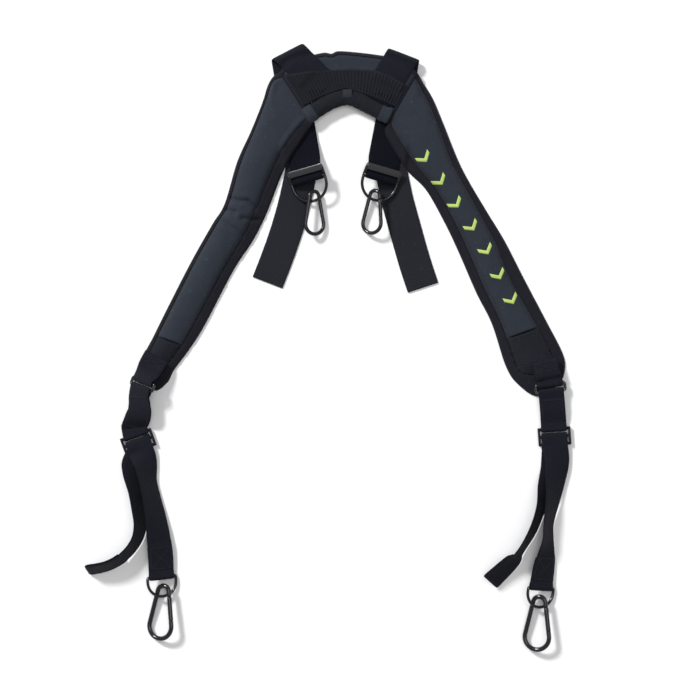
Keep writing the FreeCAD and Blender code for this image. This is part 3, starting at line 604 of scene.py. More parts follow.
# A crease is a line across the left pad and its depth in millimetres.
CREASES = [
    ([(-121.0, 178.5), (-115.1, 177.6), (-106.8, 174.6), (-96.2, 174.1), (-87.9, 167.0)], 3.2),
    ([(-134.0, 164.0), (-128.0, 164.6), (-122.1, 164.6), (-111.5, 161.1)], 2.8),
    ([(-102.0, 154.0), (-89.0, 152.8), (-76.0, 151.0)], 2.6),
    ([(-124.5, 150.5), (-117.4, 144.0), (-109.2, 139.8), (-103.3, 134.5)], 2.0),
]
TOES = {"right": flat_layout([(248.0, 25.4), (208.0, 11.0)])}


def pad_lines(side):
    """A pad's rim, the stitched line inside it and the seam across its toe."""
    pad = PADS[side]
    top, bottom = seam_line(side, SEAM_GAP, 2)
    down = unit(bottom - top)
    outer, inner, core_outer, core_inner = [top], [bottom], [top + down * 7 * MM], [bottom - down * 9 * MM]
    for edge, stitched in pad["shoulder"]:
        outer.append(flat_layout([edge])[0])
        core_outer.append(flat_layout([stitched])[0])
    for out, into, outer_border, inner_border in pad["stations"]:
        a, b = flat_layout([out, into])
        outer.append(a)
        inner.append(b)
        core_outer.append(a + unit(b - a) * outer_border * MM)
        core_inner.append(b - unit(b - a) * inner_border * MM)
    rim = outer + list(flat_layout(pad["tip"])) + inner[::-1]
    core = core_outer + list(flat_layout(pad["core_tip"])) + core_inner[::-1]
    end = TOES.get(side, np.array((core_outer[-2], core_inner[-2])))
    return {"rim": smooth_line(rim, 560), "core": smooth_line(core, 480), "end": end}


PAD_LINES = {side: pad_lines(side) for side in SIDES}


def pad_top(side, p):
    """Height of a pad's face: a rolled edge, a flatter border, a stitched groove and a full middle."""
    lines = PAD_LINES[side]
    from_rim, from_core = gap_to(p, lines["rim"]), gap_to(p, lines["core"])
    within = inside(p, lines["core"])
    share = from_rim / np.maximum(from_rim + from_core, 1e-9)
    border = 1.6 * MM + 2.5 * MM * rounded_edge(from_rim, 2.4 * MM) + 2.6 * MM * share**1.3
    full = 6.7 * MM + 7.2 * MM * (1 - np.exp(-from_core / (5.5 * MM)))
    height = np.where(within, full, border)
    past = lines["end"][:, 1].mean() - p[:, 1]
    height -= (0.9 * MM - 0.5 * MM * smooth01(past / (12 * MM))) * ridge(from_core, 0.8 * MM)
    height -= within * 0.9 * MM * ridge(gap_to(p, lines["end"]), 1.1 * MM)
    height -= within * 1.6 * MM * smooth01(past / (25 * MM))
    soft = np.clip(from_rim / (12 * MM), 0, 1)
    height += soft * (0.55 * MM * rumple(p, 22 * MM, 3.1) + 0.35 * MM * rumple(p, 8 * MM, 7.7))
    height += ridge(from_core, 5 * MM) * 0.35 * MM * rumple(p, 3.2 * MM, 1.9)
    for crease, deep in CREASES if side == "left" else []:
        away = gap_to(p, flat_layout(crease))
        height -= np.clip(from_rim / (5 * MM), 0, 1) * deep * MM * ridge(away, 2.0 * MM)
        height += soft * 0.8 * MM * ridge(away - 6 * MM, 3.5 * MM)
    height += over_strap(p) * (1 - smooth01(from_core / (10 * MM)) * within)
    near = ridge(gap_to(p, seam_line(side, SEAM_GAP)), 7 * MM)
    return height + (PAD_SEAM_HEIGHT - height) * near * np.where(within, 1, 0.75)


def pad_low(side, p):
    """Height of a pad's underside: rolled at the rim, and lifted over the rear strap."""
    from_rim = gap_to(p, PAD_LINES[side]["rim"])
    return 0.25 * MM + 1.1 * MM * (1 - rounded_edge(from_rim, 2.0 * MM)) + over_strap(p)


def make_pad(side):
    lines = PAD_LINES[side]
    body = f"pad_{side}"
    verts, faces, middles = triangulate(lines["rim"], [lines["core"], lines["end"]], SPACING)
    within = inside(middles, lines["core"])
    a, b = lines["end"]
    cross = (b[0] - a[0]) * (middles[:, 1] - a[1]) - (b[1] - a[1]) * (middles[:, 0] - a[0])
    below = cross * SIDES[side] > 0
    top, low = pad_top(side, verts), pad_low(side, verts)
    middle = np.minimum(low + 1.0 * MM, top - 0.5 * MM)

    def part(chosen):
        return solid(verts, [f for f, c in zip(faces, chosen) if c], top, middle)

    def height(p):
        return pad_top(side, p)

    cover = mesh_object(f"pad_cover_{side}", part(within & ~below), MESH, body)
    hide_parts(f"pad_face_{side}", f"pad_foam_{side}")
    end = mesh_object(f"pad_toe_{side}", part(within & below), TOE, body)
    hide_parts(f"pad_end_{side}")
    border = mesh_object(f"pad_edge_{side}", part(~within), TAPE, body)
    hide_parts(f"pad_border_{side}")
    back = mesh_object(f"pad_lining_{side}", solid(verts, faces, middle, low), TAPE, body)
    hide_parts(f"pad_back_{side}")
    parts = []
    for outward in (1.6 * MM, 3.4 * MM):
        parts += stitched_over(offset_line(lines["core"], -outward), height, STITCH)
    across = np.linspace(*lines["end"], 30)
    for down in (1.2 * MM, 3.6 * MM):
        parts += stitched_over(across - np.array((0.0, down)), height, STITCH)
    mesh_object(f"pad_stitching_{side}", merged(parts), THREAD, body)


# ---------------------------------------------------------------- yoke
ARCH_POINTS = [(-30.6, 286.8), (-17.1, 294.4), (-1.8, 301.5), (18.3, 307.4), (33.6, 303.8), (57.2, 295.6)]
ARCH_POINTS += [(77.8, 286.0)]
CROWN_POINTS = [(-52.0, 337.0), (-40.0, 343.6), (-24.2, 346.0), (-6.0, 349.6), (2.5, 348.4), (11.2, 351.4)]
CROWN_POINTS += [(36.0, 349.6), (63.1, 346.0), (80.8, 342.0), (94.0, 335.5)]
BAND_POINTS = [(-53.4, 322.6), (-5.3, 327.8), (53.7, 327.0), (91.5, 309.8)]
LEFT_SEAM, RIGHT_SEAM = seam_line("left", -SEAM_GAP), seam_line("right", -SEAM_GAP)
ARCH = smooth_line(flat_layout(ARCH_POINTS), 160)
CROWN = smooth_line(np.vstack([LEFT_SEAM[:1], flat_layout(CROWN_POINTS), RIGHT_SEAM[:1]]), 200)
YOKE_RIM = np.vstack([CROWN, RIGHT_SEAM[1:], ARCH[::-1], LEFT_SEAM[::-1][:-1]])
BINDING = 5.2 * MM  # the width of the binding along the crown
RIB_PITCH = 3.9 * MM


def yoke_top(p):
    """Height of the yoke's face without the band."""
    from_crown = gap_to(p, CROWN)
    height = 6.5 * MM + 7.0 * MM * rounded_edge(from_crown, 7.0 * MM)
    height -= 0.8 * MM * ridge(from_crown - BINDING, 0.9 * MM)
    lumps = 0.5 * MM * rumple(p, 17 * MM, 5.5) + 0.25 * MM * rumple(p, 6 * MM, 2.2)
    height += np.clip(from_crown / (9 * MM), 0, 1) * lumps
    for seam in (LEFT_SEAM, RIGHT_SEAM):
        near = ridge(gap_to(p, seam), 5 * MM)
        height += (YOKE_SEAM_HEIGHT - height) * near * np.clip(from_crown / (6 * MM), 0, 1)
    return height


def yoke_low(p):
    from_rim = gap_to(p, np.vstack([YOKE_RIM, YOKE_RIM[:1]]))
    return 4.6 * MM + 1.4 * MM * (1 - smooth01(from_rim / (4 * MM)))


def make_yoke():
    trim = offset_line(CROWN, -BINDING)[4:-4]
    trim = trim[inside(trim, YOKE_RIM)]
    verts, faces, middles = triangulate(YOKE_RIM, [trim], SPACING)
    edge = gap_to(middles, CROWN) < BINDING
    top, low = yoke_top(verts), yoke_low(verts)
    middle = low + 1.0 * MM
    panel = solid(verts, [f for f, e in zip(faces, edge) if not e], top, middle)
    face = mesh_object("yoke_cover", panel, MESH, "yoke")
    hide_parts("yoke_face_panel", "yoke_foam")
    bound = solid(verts, [f for f, e in zip(faces, edge) if e], top + 0.5 * MM, middle)
    binding = mesh_object("yoke_binding", bound, TAPE, "yoke")
    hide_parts("yoke_top_binding")
    back = mesh_object("yoke_lining", solid(verts, faces, middle, low), TAPE, "yoke")
    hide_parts("yoke_back_panel")
    parts = stitched_over(offset_line(CROWN, -4.0 * MM)[8:-8], lambda p: yoke_top(p) + 0.4 * MM, STITCH)
    mesh_object("yoke_stitching", merged(parts), THREAD, "yoke")


def tab_lift(p):
    """How much the band is lifted where the folded end of a rear strap lies below it."""
    lift = np.zeros(len(p))
    for side in SIDES:
        left, right = FOLDS[side]
        fold = unit(right - left)
        inward = np.array((fold[1], -fold[0]))
        head, down = rear_line(side)
        way = inward * (2 * np.dot(inward, down)) - down
        along = (p - head) @ way
        far = np.abs((p - head) @ np.array((-way[1], way[0])))
        near = smooth01((20.5 * MM - far) / (3 * MM)) * smooth01((TAB_LENGTH + 4 * MM - along) / (6 * MM))
        lift = np.maximum(lift, near)
    return lift * WEB


def make_band():
    """A corded band over the arch, with its cords running from edge to edge."""
    across, along = 26, 620
    low_edge = smooth_line(offset_line(ARCH, -1.8 * MM), along)
    top_edge = smooth_line(smooth_line(flat_layout(BAND_POINTS), 160), along)
    far = lengths_along((low_edge + top_edge) / 2)
    shares = np.linspace(0, 1, across)
    flat = np.array([low_edge * (1 - s) + top_edge * s for s in shares]).reshape(-1, 2)
    rib = np.abs(np.sin(math.pi * far / RIB_PITCH)) ** 0.7
    fade = smooth01(shares / 0.05) * smooth01((1 - shares) / 0.05)
    height = yoke_top(flat) + tab_lift(flat) + 1.2 * MM
    height += (0.95 * MM * fade[:, None] * rib[None, :]).reshape(-1)
    height += 0.3 * MM * rumple(flat, 14 * MM, 8.8)
    sheet = sheet_mesh(np.column_stack([flat, height]), across, along, 1.6 * MM)
    band = mesh_object("yoke_corded_band", sheet, RIBBED, "yoke")
    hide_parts("yoke_band")
    parts = []
    for share in (0.06, 0.94):
        line = low_edge[6:-6] * (1 - share) + top_edge[6:-6] * share
        parts += stitched_over(line, lambda p: yoke_top(p) + tab_lift(p) + 1.7 * MM, 2.6 * MM)
    mesh_object("band_stitching", merged(parts), THREAD, "yoke")


ROLL_MIDDLE = 10.7 * MM
ROLL_HALF_WIDTH = 9.8 * MM
ROLL_HALF_HEIGHT = 6.3 * MM
ROLL_POINTS = [(-28.6, 273.0), (-8.0, 286.6), (5.0, 293.2), (18.3, 296.6), (31.0, 294.4), (48.0, 286.0)]
ROLL_POINTS += [(73.0, 273.8)]
ROLL_LINE = smooth_line(layout(ROLL_POINTS) + Z * ROLL_MIDDLE, 150)


def roll_mesh(start, stop, grow, wrinkle):
    """A stretch of the padded neck roll, larger than the roll by grow."""
    around = 44
    first, last = int(start * (len(ROLL_LINE) - 1)), int(stop * (len(ROLL_LINE) - 1))
    line = smooth_line(ROLL_LINE[first : last + 1], max(24, (last - first) * 2))
    points = []
    for i, (p, ahead) in enumerate(zip(line, headings(line))):
        side = unit(np.cross(ahead, Z))
        near = min(i, len(line) - 1 - i) / 6
        cap = math.sqrt(max(0.05, 1 - max(0, 1 - near) ** 2))
        for a in np.linspace(0, 2 * math.pi, around, endpoint=False):
            swell = noise.noise(Vector((p[0] * 160, p[1] * 160, a * 1.2)))
            swell += 0.6 * noise.noise(Vector((p[0] * 420, p[1] * 420, a * 2.5)))
            radius = 1 + wrinkle * MM * swell / (7 * MM)
            across = (ROLL_HALF_WIDTH + grow) * radius * cap * math.cos(a)
            up = (ROLL_HALF_HEIGHT + grow) * radius * cap * math.sin(a)
            points.append(p + side * across + Z * up)
    return points, turned_over(skin(len(line), around))


def make_neck_roll():
    roll = mesh_object("neck_roll_cover", roll_mesh(0.0, 1.0, 0.0, 0.5), RIBBED, "yoke")
    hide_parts("neck_roll")
    for side, start, stop in (("left", 0.0, 0.13), ("right", 0.87, 1.0)):
        end = roll_mesh(start, stop, 0.7 * MM, 0.3)
        patch = mesh_object(f"roll_end_{side}", end, MESH, "yoke")
        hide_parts(f"roll_patch_{side}")
    count = 60
    from_end = np.minimum(np.arange(count), np.arange(count)[::-1])
    lift = PAD_SEAM_HEIGHT + 0.3 * MM + np.minimum(0, (from_end - 4) * 0.4 * MM)
    for side in SIDES:
        path = np.column_stack([seam_line(side, 0.0, count), lift])
        piping = mesh_object(f"seam_tape_{side}", tube(path, 1.0 * MM, sides=12), TAPE, "yoke")
        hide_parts(f"seam_piping_{side}")


def make_label():
    """A blank woven tag sewn over the middle of the roll."""
    low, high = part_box("label_patch")
    base = np.array((low + high) / 2)
    rows, half, thick = 16, 5.3 * MM, 0.7 * MM
    top = []
    for i in np.linspace(-1, 1, rows):
        bow = math.sqrt(max(0, 1 - ((i * half - 1.0 * MM) / (11 * MM)) ** 2))
        height = ROLL_MIDDLE + (ROLL_HALF_HEIGHT + thick) * bow
        top += [(base[0] + k * half, base[1] + i * half, height) for k in np.linspace(-1, 1, rows)]
    sheet = sheet_mesh(np.array(top), rows, rows, thick)
    label = mesh_object("blank_label", sheet, LABEL, "yoke")
    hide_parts("label_patch")


MOTIF_POINTS = [(112.0, 224.0), (148.0, 172.0), (178.0, 128.0), (196.0, 93.0), (215.0, 57.0)]
CHEVRON_HALF = 8.5 * MM
CHEVRON_LOW = np.array([(-1, 0.2), (0, -0.6), (1, 0.2)]) * CHEVRON_HALF
CHEVRON_TOP = np.array([(-1, 0.8), (0, 0.0), (1, 0.8)]) * CHEVRON_HALF
CHEVRONS = 7


def make_motif():
    """Plain satin-stitched chevrons down the right pad."""
    parts = []
    line = smooth_line(flat_layout(MOTIF_POINTS), CHEVRONS)
    arc = np.sin(np.linspace(0, math.pi, 5))
    for middle, down in zip(line, headings(line)):
        turn = np.array(((-down[1], down[0]), -down))
        low_edge, top_edge = middle + CHEVRON_LOW @ turn, middle + CHEVRON_TOP @ turn
        for leg in np.linspace(0, 2, 44):
            i = min(int(leg), 1)
            f = leg - i
            a = low_edge[i] * (1 - f) + low_edge[i + 1] * f
            b = top_edge[i] * (1 - f) + top_edge[i + 1] * f
            flat = np.linspace(a, b, 5)
            path = np.column_stack([flat, pad_top("right", flat) + 0.15 * MM + 0.45 * MM * arc])
            parts.append(tube(path, 0.25 * MM, sides=5))
    motif = mesh_object("chevron_embroidery", merged(parts), LIME, "pad_right")
    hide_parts("pad_motif")


# ---------------------------------------------------------------- webbing
def strip_mesh(rows, half, wave=0.22, seed=0.0):
    """A webbing strap with rounded selvedges.  Each row holds a centre and the direction across."""
    centre, across = rows[:, :3], rows[:, 3:6]
    ahead = headings(centre)
    normal = np.cross(ahead, across / np.linalg.norm(across, axis=1)[:, None])
    normal /= np.linalg.norm(normal, axis=1)[:, None]
    across = np.cross(normal, ahead)
    columns = np.sin(np.linspace(-math.pi / 2, math.pi / 2, 17))
    profile = np.sqrt(np.clip(1 - np.abs(columns) ** 10, 0, 1))
    profile[0] = profile[-1] = 0.25
    points, uvs = [], []
    for sign in (1, -1):
        for c, x, z, far in zip(centre, across, normal, lengths_along(centre)):
            for u, e in zip(columns, profile):
                lump = noise.noise(Vector((u * half * 55 + seed, far * 55, seed)))
                frayed = 1 + 0.15 * MM / half * noise.noise(Vector((far * 260, seed, 4.0 * (u > 0))))
                off = sign * WEB / 2 * e + wave * MM * lump * (1 - abs(u) ** 6)
                points.append(c + x * u * half * frayed + z * off)
                uvs.append((u * half, far))
    m = len(columns)
    total = len(rows) * m
    faces = []
    for i in range(len(rows) - 1):
        for k in range(m - 1):
            a = i * m + k
            faces.append((a, a + 1, a + m + 1, a + m))
            faces.append((total + a + m, total + a + m + 1, total + a + 1, total + a))
        for k in (0, m - 1):
            a = i * m + k
            quad = (a, a + m, total + a + m, total + a)
            faces.append(quad if k == 0 else quad[::-1])
    for i in (0, len(rows) - 1):
        for k in range(m - 1):
            a = i * m + k
            quad = (a, total + a, total + a + 1, a + 1)
            faces.append(quad if i == 0 else quad[::-1])
    return (np.array(points), faces), uvs, (centre, across, normal)


def strip(name, rows, half, body=None, step=1.2 * MM, mat=WEBBING, **options):
    """A strap along some rows, with what box_stitch needs: its centres, acrosses and normals."""
    even = smooth_line(rows, int(lengths_along(rows[:, :3])[-1] / step))
    mesh, uvs, sewn = strip_mesh(even, half, **options)
    return mesh_object(name, mesh, mat, body, uvs), sewn


def box_stitch(name, sewn, start, stop, half, body, cross=True):
    """Rows of stitches round and across a sewn stretch of strap, given in lengths along it."""
    far = lengths_along(sewn[0])
    edge = 0.8
    corners = [(start, -edge), (start, edge), (stop, edge), (stop, -edge), (start, -edge)]
    lines = [corners[i : i + 2] for i in range(4)]
    if cross:
        lines += [[(start, -edge), (stop, edge)], [(start, edge), (stop, -edge)]]
    parts = []
    for first, last in lines:
        s, u = np.linspace(first, last, 16).T
        centre, across, normal = (sampled(part, far, s) for part in sewn)
        points = centre + across * u[:, None] * half + normal * WEB / 2
        parts += stitches(points, normal, 2.6 * MM, 1.8 * MM, 0.24 * MM)
    return mesh_object(name, merged(parts), THREAD, body)


def rows_of(points, acrosses):
    """Centres and directions across in one array, so that they are smoothed together."""
    return np.hstack([np.array(points, float), np.array(acrosses, float) * 10 * MM])


def turned_across(yaw, pitch, roll):
    """The direction across a strap turned as the frame's parts are: yaw, then pitch, then roll."""
    flat, up = math.cos(roll), math.sin(roll)
    x = math.cos(yaw) * flat - math.sin(yaw) * math.sin(pitch) * up
    y = math.sin(yaw) * flat + math.cos(yaw) * math.sin(pitch) * up
    return np.array((x, y, -math.cos(pitch) * up))


def crosses_along(points, stations):
    """The direction across at each point, facing along the path with its station's roll in degrees."""
    found = []
    for way, station in zip(np.gradient(np.array(points), axis=0), stations):
        slope = math.atan2(-way[2], math.hypot(way[0], way[1]))
        found.append(turned_across(math.atan2(way[0], -way[1]), slope, math.radians(station[3])))
    return found


def along_path(stations):
    """Centres and across directions for stations (x, y, z, roll)."""
    points = list(layout([s[:3] for s in stations]))
    return points, crosses_along(points, stations)


def arc_round(place, radius, start, sweep, count=9, slack=0.0):
    """Centres of webbing turned about local x, from an angle that is 0 at +y and 90 at +z."""
    angles = np.radians(np.linspace(start, start + sweep, count))
    return [place.at(0, (radius + slack) * math.cos(a), radius * math.sin(a)) for a in angles]


FOLD_RADIUS = 5.4 * MM
FLAT_RUN = 107.0 * MM  # how far a rear strap lies flat from its fold, before it rolls to its slider
ROLL_AT_SLIDER = math.radians(18)
REAR_TURN = 3.15 * MM
TAB_SHARE = 0.66  # the straight length beyond the fold, as a share of the flat run


def rear_rows(side):
    """A rear strap laid out straight: its tab, its flat run, and the loop round the slider's bar."""
    head, down = rear_line(side)
    loop = loop_place(side)
    flat_end = head + down * FLAT_RUN
    keys = [(*(head + down * FLAT_RUN * share), STRAP_LOW) for share in np.linspace(-TAB_SHARE, 1, 33)]
    crosses = [np.array((-down[1], down[0], 0))] * len(keys)
    part_rolled = ROLL_AT_SLIDER * 0.35
    half_way = flat_end * 0.6 + loop.base[:2] * 0.4
    keys.append((*half_way, STRAP_LOW + HALF_REAR * math.sin(part_rolled)))
    crosses.append(turned_across(math.atan2(down[0], -down[1]), 0, SIDES[side] * part_rolled))
    keys += [loop.at(0, 16 * MM, -0.6 * MM), loop.at(0, 10 * MM, -0.6 * MM), loop.at(0, 6.8 * MM, -0.4 * MM)]
    keys += arc_round(loop, REAR_TURN, 62, 208)
    keys += [loop.at(0, 6 * MM, -3.2 * MM), loop.at(0, 12 * MM, -2.6 * MM)]
    crosses += [loop.x] * (len(keys) - len(crosses))
    return smooth_line(rows_of(keys, crosses), 250)


def fold_tab(points, side):
    """Turns a rear strap's end up over its fold, and lays it on the yoke."""
    head, down = rear_line(side)
    left, right = FOLDS[side]
    fold = unit(right - left)
    outward = np.array((-fold[1], fold[0]))
    lying = []
    for i, p in enumerate(points):
        past = np.dot(p[:2] - left, outward) + FOLD_RADIUS
        if past <= 0 or np.dot(p[:2] - head, down) > 60 * MM:
            continue
        ply = p[2] - STRAP_LOW
        if past < math.pi * FOLD_RADIUS:
            turned = past / FOLD_RADIUS
            p[:2] += outward * ((FOLD_RADIUS - ply) * math.sin(turned) - past)
            p[2] = STRAP_LOW + FOLD_RADIUS - (FOLD_RADIUS - ply) * math.cos(turned)
        else:
            p[:2] -= outward * (2 * past - math.pi * FOLD_RADIUS)
            p[2] = -ply
            lying.append(i)
    flat = points[lying, :2]
    rest = STRAP_LOW + 2 * FOLD_RADIUS
    support = np.maximum(yoke_top(flat), rest - 2.2 * MM)
    near = smooth01(((left - flat) @ outward) / (9 * MM))
    points[lying, 2] += rest * (1 - near) + (support + 1.0 * MM) * near


def make_rear_strap(side):
    head, down = rear_line(side)
    loop = loop_place(side)
    (points, faces), uvs, _ = strip_mesh(rear_rows(side), HALF_REAR, seed=3.0 * SIDES[side])
    fold_tab(points, side)
    name = f"rear_webbing_{side}"
    # Painted shade: the strap past 50 mm below its fold, and its loop round the slider's bar, take the
    # darker webbing for the yoke's and pads' shadow; the tab keeps the plain webbing.
    strap = mesh_object(name, (points, faces), PAINTED_SHADE_WEBBING, None, uvs)
    strap.data.materials.append(WEBBING)
    for face in strap.data.polygons:
        if np.dot(np.array(face.center[:2]) - head, down) < 50 * MM:
            face.material_index = 1
    tuple(loop.at(0, 6 * MM, 0))
    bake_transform(strap)
    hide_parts(f"rear_strap_{side}", f"rear_loop_{side}")


REAR_TAILS = {
    "left": [(-33.0, 226.0), (-33.2, 212.0), (-34.6, 203.0), (-42.0, 170.0), (-51.5, 137.0), (-62.0, 107.0)],
    "right": [(72.0, 228.0), (73.0, 212.0), (74.8, 203.0), (80.0, 178.0), (87.5, 150.0), (100.5, 104.0)],
}
TAIL_TIPS = {"left": (-73.2, 78.0), "right": (111.0, 72.0)}
TAIL_HEIGHT = 1.15  # millimetres above the table


def make_rear_tail(side):
    line = REAR_TAILS[side] + [TAIL_TIPS[side]]
    rows = rows_of(*along_path([(x, y, TAIL_HEIGHT, 0) for x, y in line]))
    body = f"rear_loop_{side}"
    options = {"step": 1.4 * MM, "mat": REAR_WEBBING, "seed": 9.0 * SIDES[side], "wave": 0.12}
    tail, sewn = strip(f"rear_tail_webbing_{side}", rows, HALF_REAR, body, **options)
    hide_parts(f"rear_tail_{side}")
    stop = lengths_along(sewn[0])[-1] - 2.5 * MM
    box_stitch(f"rear_tail_hem_{side}", sewn, stop - 6 * MM, stop, HALF_REAR, body, cross=False)


# ---------------------------------------------------------------- front straps
# A station is x, y, z in millimetres and a roll in degrees.
FRONT = {
    "left": {
        "tab": [(-203.5, -9.0, 12.4, 0), (-205.5, -12.5, 14.4, -2), (-209.5, -20.0, 16.4, -6)],
        "run": [
            (-216.5, -137.0, 12.0, 34), (-213.5, -156.0, 14.6, 52), (-208.8, -178.0, 14.6, 50),
            (-204.3, -200.0, 14.4, 42), (-201.5, -222.0, 13.2, 28), (-199.2, -244.0, 10.4, 20),
        ],
        "tail": [
            (-231.0, -137.0, 5.6, 24), (-230.5, -150.0, 10.0, 40), (-226.5, -168.0, 12.8, 52),
            (-223.5, -190.0, 13.8, 58), (-222.5, -208.0, 14.4, 64), (-227.0, -226.0, 14.8, 67),
            (-240.0, -243.0, 14.8, 67), (-259.0, -255.0, 14.6, 66), (-284.0, -261.0, 14.4, 64),
        ],
    },
    "right": {
        "tab": [(253.5, -14.0, 12.2, 0), (254.5, -18.0, 14.0, 0), (257.5, -31.0, 14.9, 0)],
        "run": [
            (269.0, -132.0, 8.0, 12), (267.3, -150.0, 12.0, 30), (264.0, -175.0, 14.5, 48),
            (258.5, -205.0, 14.6, 60), (257.5, -225.0, 14.0, 58), (254.0, -252.0, 10.6, 34),
        ],
        "tail": [
            (266.0, -130.5, 1.2, 0), (264.5, -146.0, 1.8, 3), (258.0, -166.0, 7.2, 26),
            (249.0, -190.0, 13.9, 60), (239.5, -215.0, 14.8, 65), (224.5, -240.0, 15.0, 68),
            (215.0, -251.0, 13.6, 50), (190.5, -274.5, 12.2, 40),
        ],
    },
}
TURN = WIRE + 0.3 * MM + WEB / 2  # the radius at which webbing goes round a bar
SLACK = 0.9 * MM  # how much farther than that a loose loop reaches along the strap
PLY = 0.9 * MM  # from the middle of a doubled strap to the middle of its upper ply
UNDER_PLY = 0.95 * MM
CONNECTOR_BOW = {"left": 5.0 * MM, "right": 0.0}
HEM = 30.0 * MM  # the length sewn back on itself above a D-ring
TAIL_HEM = 44.0 * MM  # the same at a free end
TABLE_GAP = 0.35 * MM


def off_face(rows, shift):
    """Rows moved off their own face by shift, which can change from row to row."""
    normal = np.cross(np.gradient(rows[:, :3], axis=0), rows[:, 3:6])
    normal /= np.linalg.norm(normal, axis=1)[:, None]
    moved = rows.copy()
    moved[:, :3] += normal * np.reshape(shift, (-1, 1))
    return moved


def clear_of_floor(rows, under):
    """Rows raised where a strap's lower edge, with whatever lies under it, would reach the table."""
    ahead = np.gradient(rows[:, :3], axis=0)
    across = np.cross(np.cross(ahead, rows[:, 3:6]), ahead)
    tilt = np.abs(across[:, 2] / np.linalg.norm(across, axis=1))
    lowest = rows[:, 2] - HALF_STRAP * tilt - WEB / 2 - under
    need = np.maximum(0, TABLE_GAP - lowest)
    reach = 8
    window = 2 * reach + 1
    wide = np.array([need[max(0, i - reach) : i + reach + 1].max() for i in range(len(need))])
    soft = np.convolve(np.pad(wide, reach, mode="edge"), np.ones(window) / window, mode="valid")
    start = smooth01(np.arange(len(rows)) / reach - 1)
    raised = rows.copy()
    raised[:, 2] += soft * start * start[::-1]
    return raised


def make_tab(side):
    """The tab sewn to the pad's toe, which holds the upper bar of the ring."""
    bar = ring_place(side).moved(0, RING_REACH / 2, 0)
    centres, crosses = along_path(FRONT[side]["tab"])
    sewn_down = centres[1]
    under = bar.at(0, 6 * MM, -2.4 * MM)
    centres += [bar.at(0, 5.5 * MM, 2.2 * MM)] + arc_round(bar, TURN, 90, 180, slack=SLACK)
    centres += [under, (under + sewn_down) / 2 - Z * 2.2 * MM]
    crosses += [bar.x] * (len(centres) - len(crosses))
    body = f"pad_{side}"
    options = {"step": 1.0 * MM, "seed": 2.0 + SIDES[side]}
    tab, sewn = strip(f"ring_tab_{side}", rows_of(centres, crosses), HALF_STRAP, body, **options)
    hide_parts(f"pad_tab_{side}")
    box_stitch(f"ring_tab_stitching_{side}", sewn, 2.5 * MM, 13 * MM, HALF_STRAP, body)


def make_connector(side):
    """Two plies of webbing sewn together between the ring and the adjuster."""
    lower, upper = ring_place(side).moved(0, -RING_REACH / 2, 0), lock_place(side).moved(0, LOCK_PITCH, 0)
    start, stop = lower.at(0, -6.9 * MM, 0), upper.at(0, 6.9 * MM, 0)
    centres, crosses = [], []
    for f in (0.0, 0.12, 0.3, 0.5, 0.7, 0.88, 1.0):
        bulge = math.sin(math.pi * f)
        aside = lower.x * CONNECTOR_BOW[side] * bulge**2
        centres.append(start * (1 - f) + stop * f + Z * 1.6 * MM * bulge + aside)
        crosses.append(unit(lower.x * (1 - smooth01(f)) + upper.x * smooth01(f)))
    middle = clear_of_floor(smooth_line(rows_of(centres, crosses), 40), PLY)
    top, under = off_face(middle, PLY), off_face(middle, -PLY)
    arc_low = rows_of(arc_round(upper, TURN, 100, 160), [upper.x] * 9)
    arc_high = rows_of(arc_round(lower, TURN, -80, 160), [lower.x] * 9)
    path = np.vstack([top[2:-2], arc_low, under[2:-2][::-1], arc_high, top[2:6]])
    body = f"connector_{side}"
    options = {"step": 1.0 * MM, "seed": 5.0 + SIDES[side], "wave": 0.1}
    loop, sewn = strip(f"connector_webbing_{side}", path, HALF_STRAP, body, **options)
    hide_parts(f"connector_{side}")
    stop_at = lengths_along(top[2:-2, :3])[-1] - 2 * MM
    box_stitch(f"connector_stitching_{side}", sewn, 2 * MM, stop_at, HALF_STRAP, body, cross=False)


def make_adjusting_strap(side):
    """From the adjuster's middle bar down to the D-ring, round it and sewn back on itself."""
    lock, dee = lock_place(side), dee_place(side)
    leaving, end = lock.at(0, -13 * MM, TURN), dee.at(0, 7 * MM, 0)
    start = arc_round(lock, TURN, 0, 90, 6, SLACK) + [lock.at(0, -5 * MM, TURN), leaving]
    stations = FRONT[side]["run"]
    run = list(layout([s[:3] for s in stations]))
    ends = (0, 0, 0, 0)  # the two ends' own crosses come from the bars
    crosses = crosses_along([leaving] + run + [end], [ends] + stations + [ends])[1:-1]
    rows = smooth_line(rows_of(start + run + [end], [lock.x] * len(start) + crosses + [dee.x]), 260)
    far = lengths_along(rows[:, :3])
    doubled = smooth01((far - (far[-1] - HEM - 6 * MM)) / (8 * MM))
    under = off_face(rows, -UNDER_PLY)[far > far[-1] - HEM][::-1]
    arc = rows_of(arc_round(dee, TURN, 95, 170), [dee.x] * 9)
    path = np.vstack([off_face(rows, PLY * doubled), arc, under])
    strap, sewn = strip(f"adjusting_webbing_{side}", path, HALF_STRAP, seed=11.0 * SIDES[side])
    body = f"strap_{side}"
    tuple(lock.at(0, -9 * MM, 0))
    tuple(lock.at(0, -70 * MM, 0))
    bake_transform(strap)
    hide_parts(f"adjust_strap_{side}", f"adjust_bend_{side}")
    hem = far[-1] - HEM + 2 * MM, far[-1] - 3 * MM
    box_stitch(f"adjusting_hem_{side}", sewn, *hem, HALF_STRAP, body)


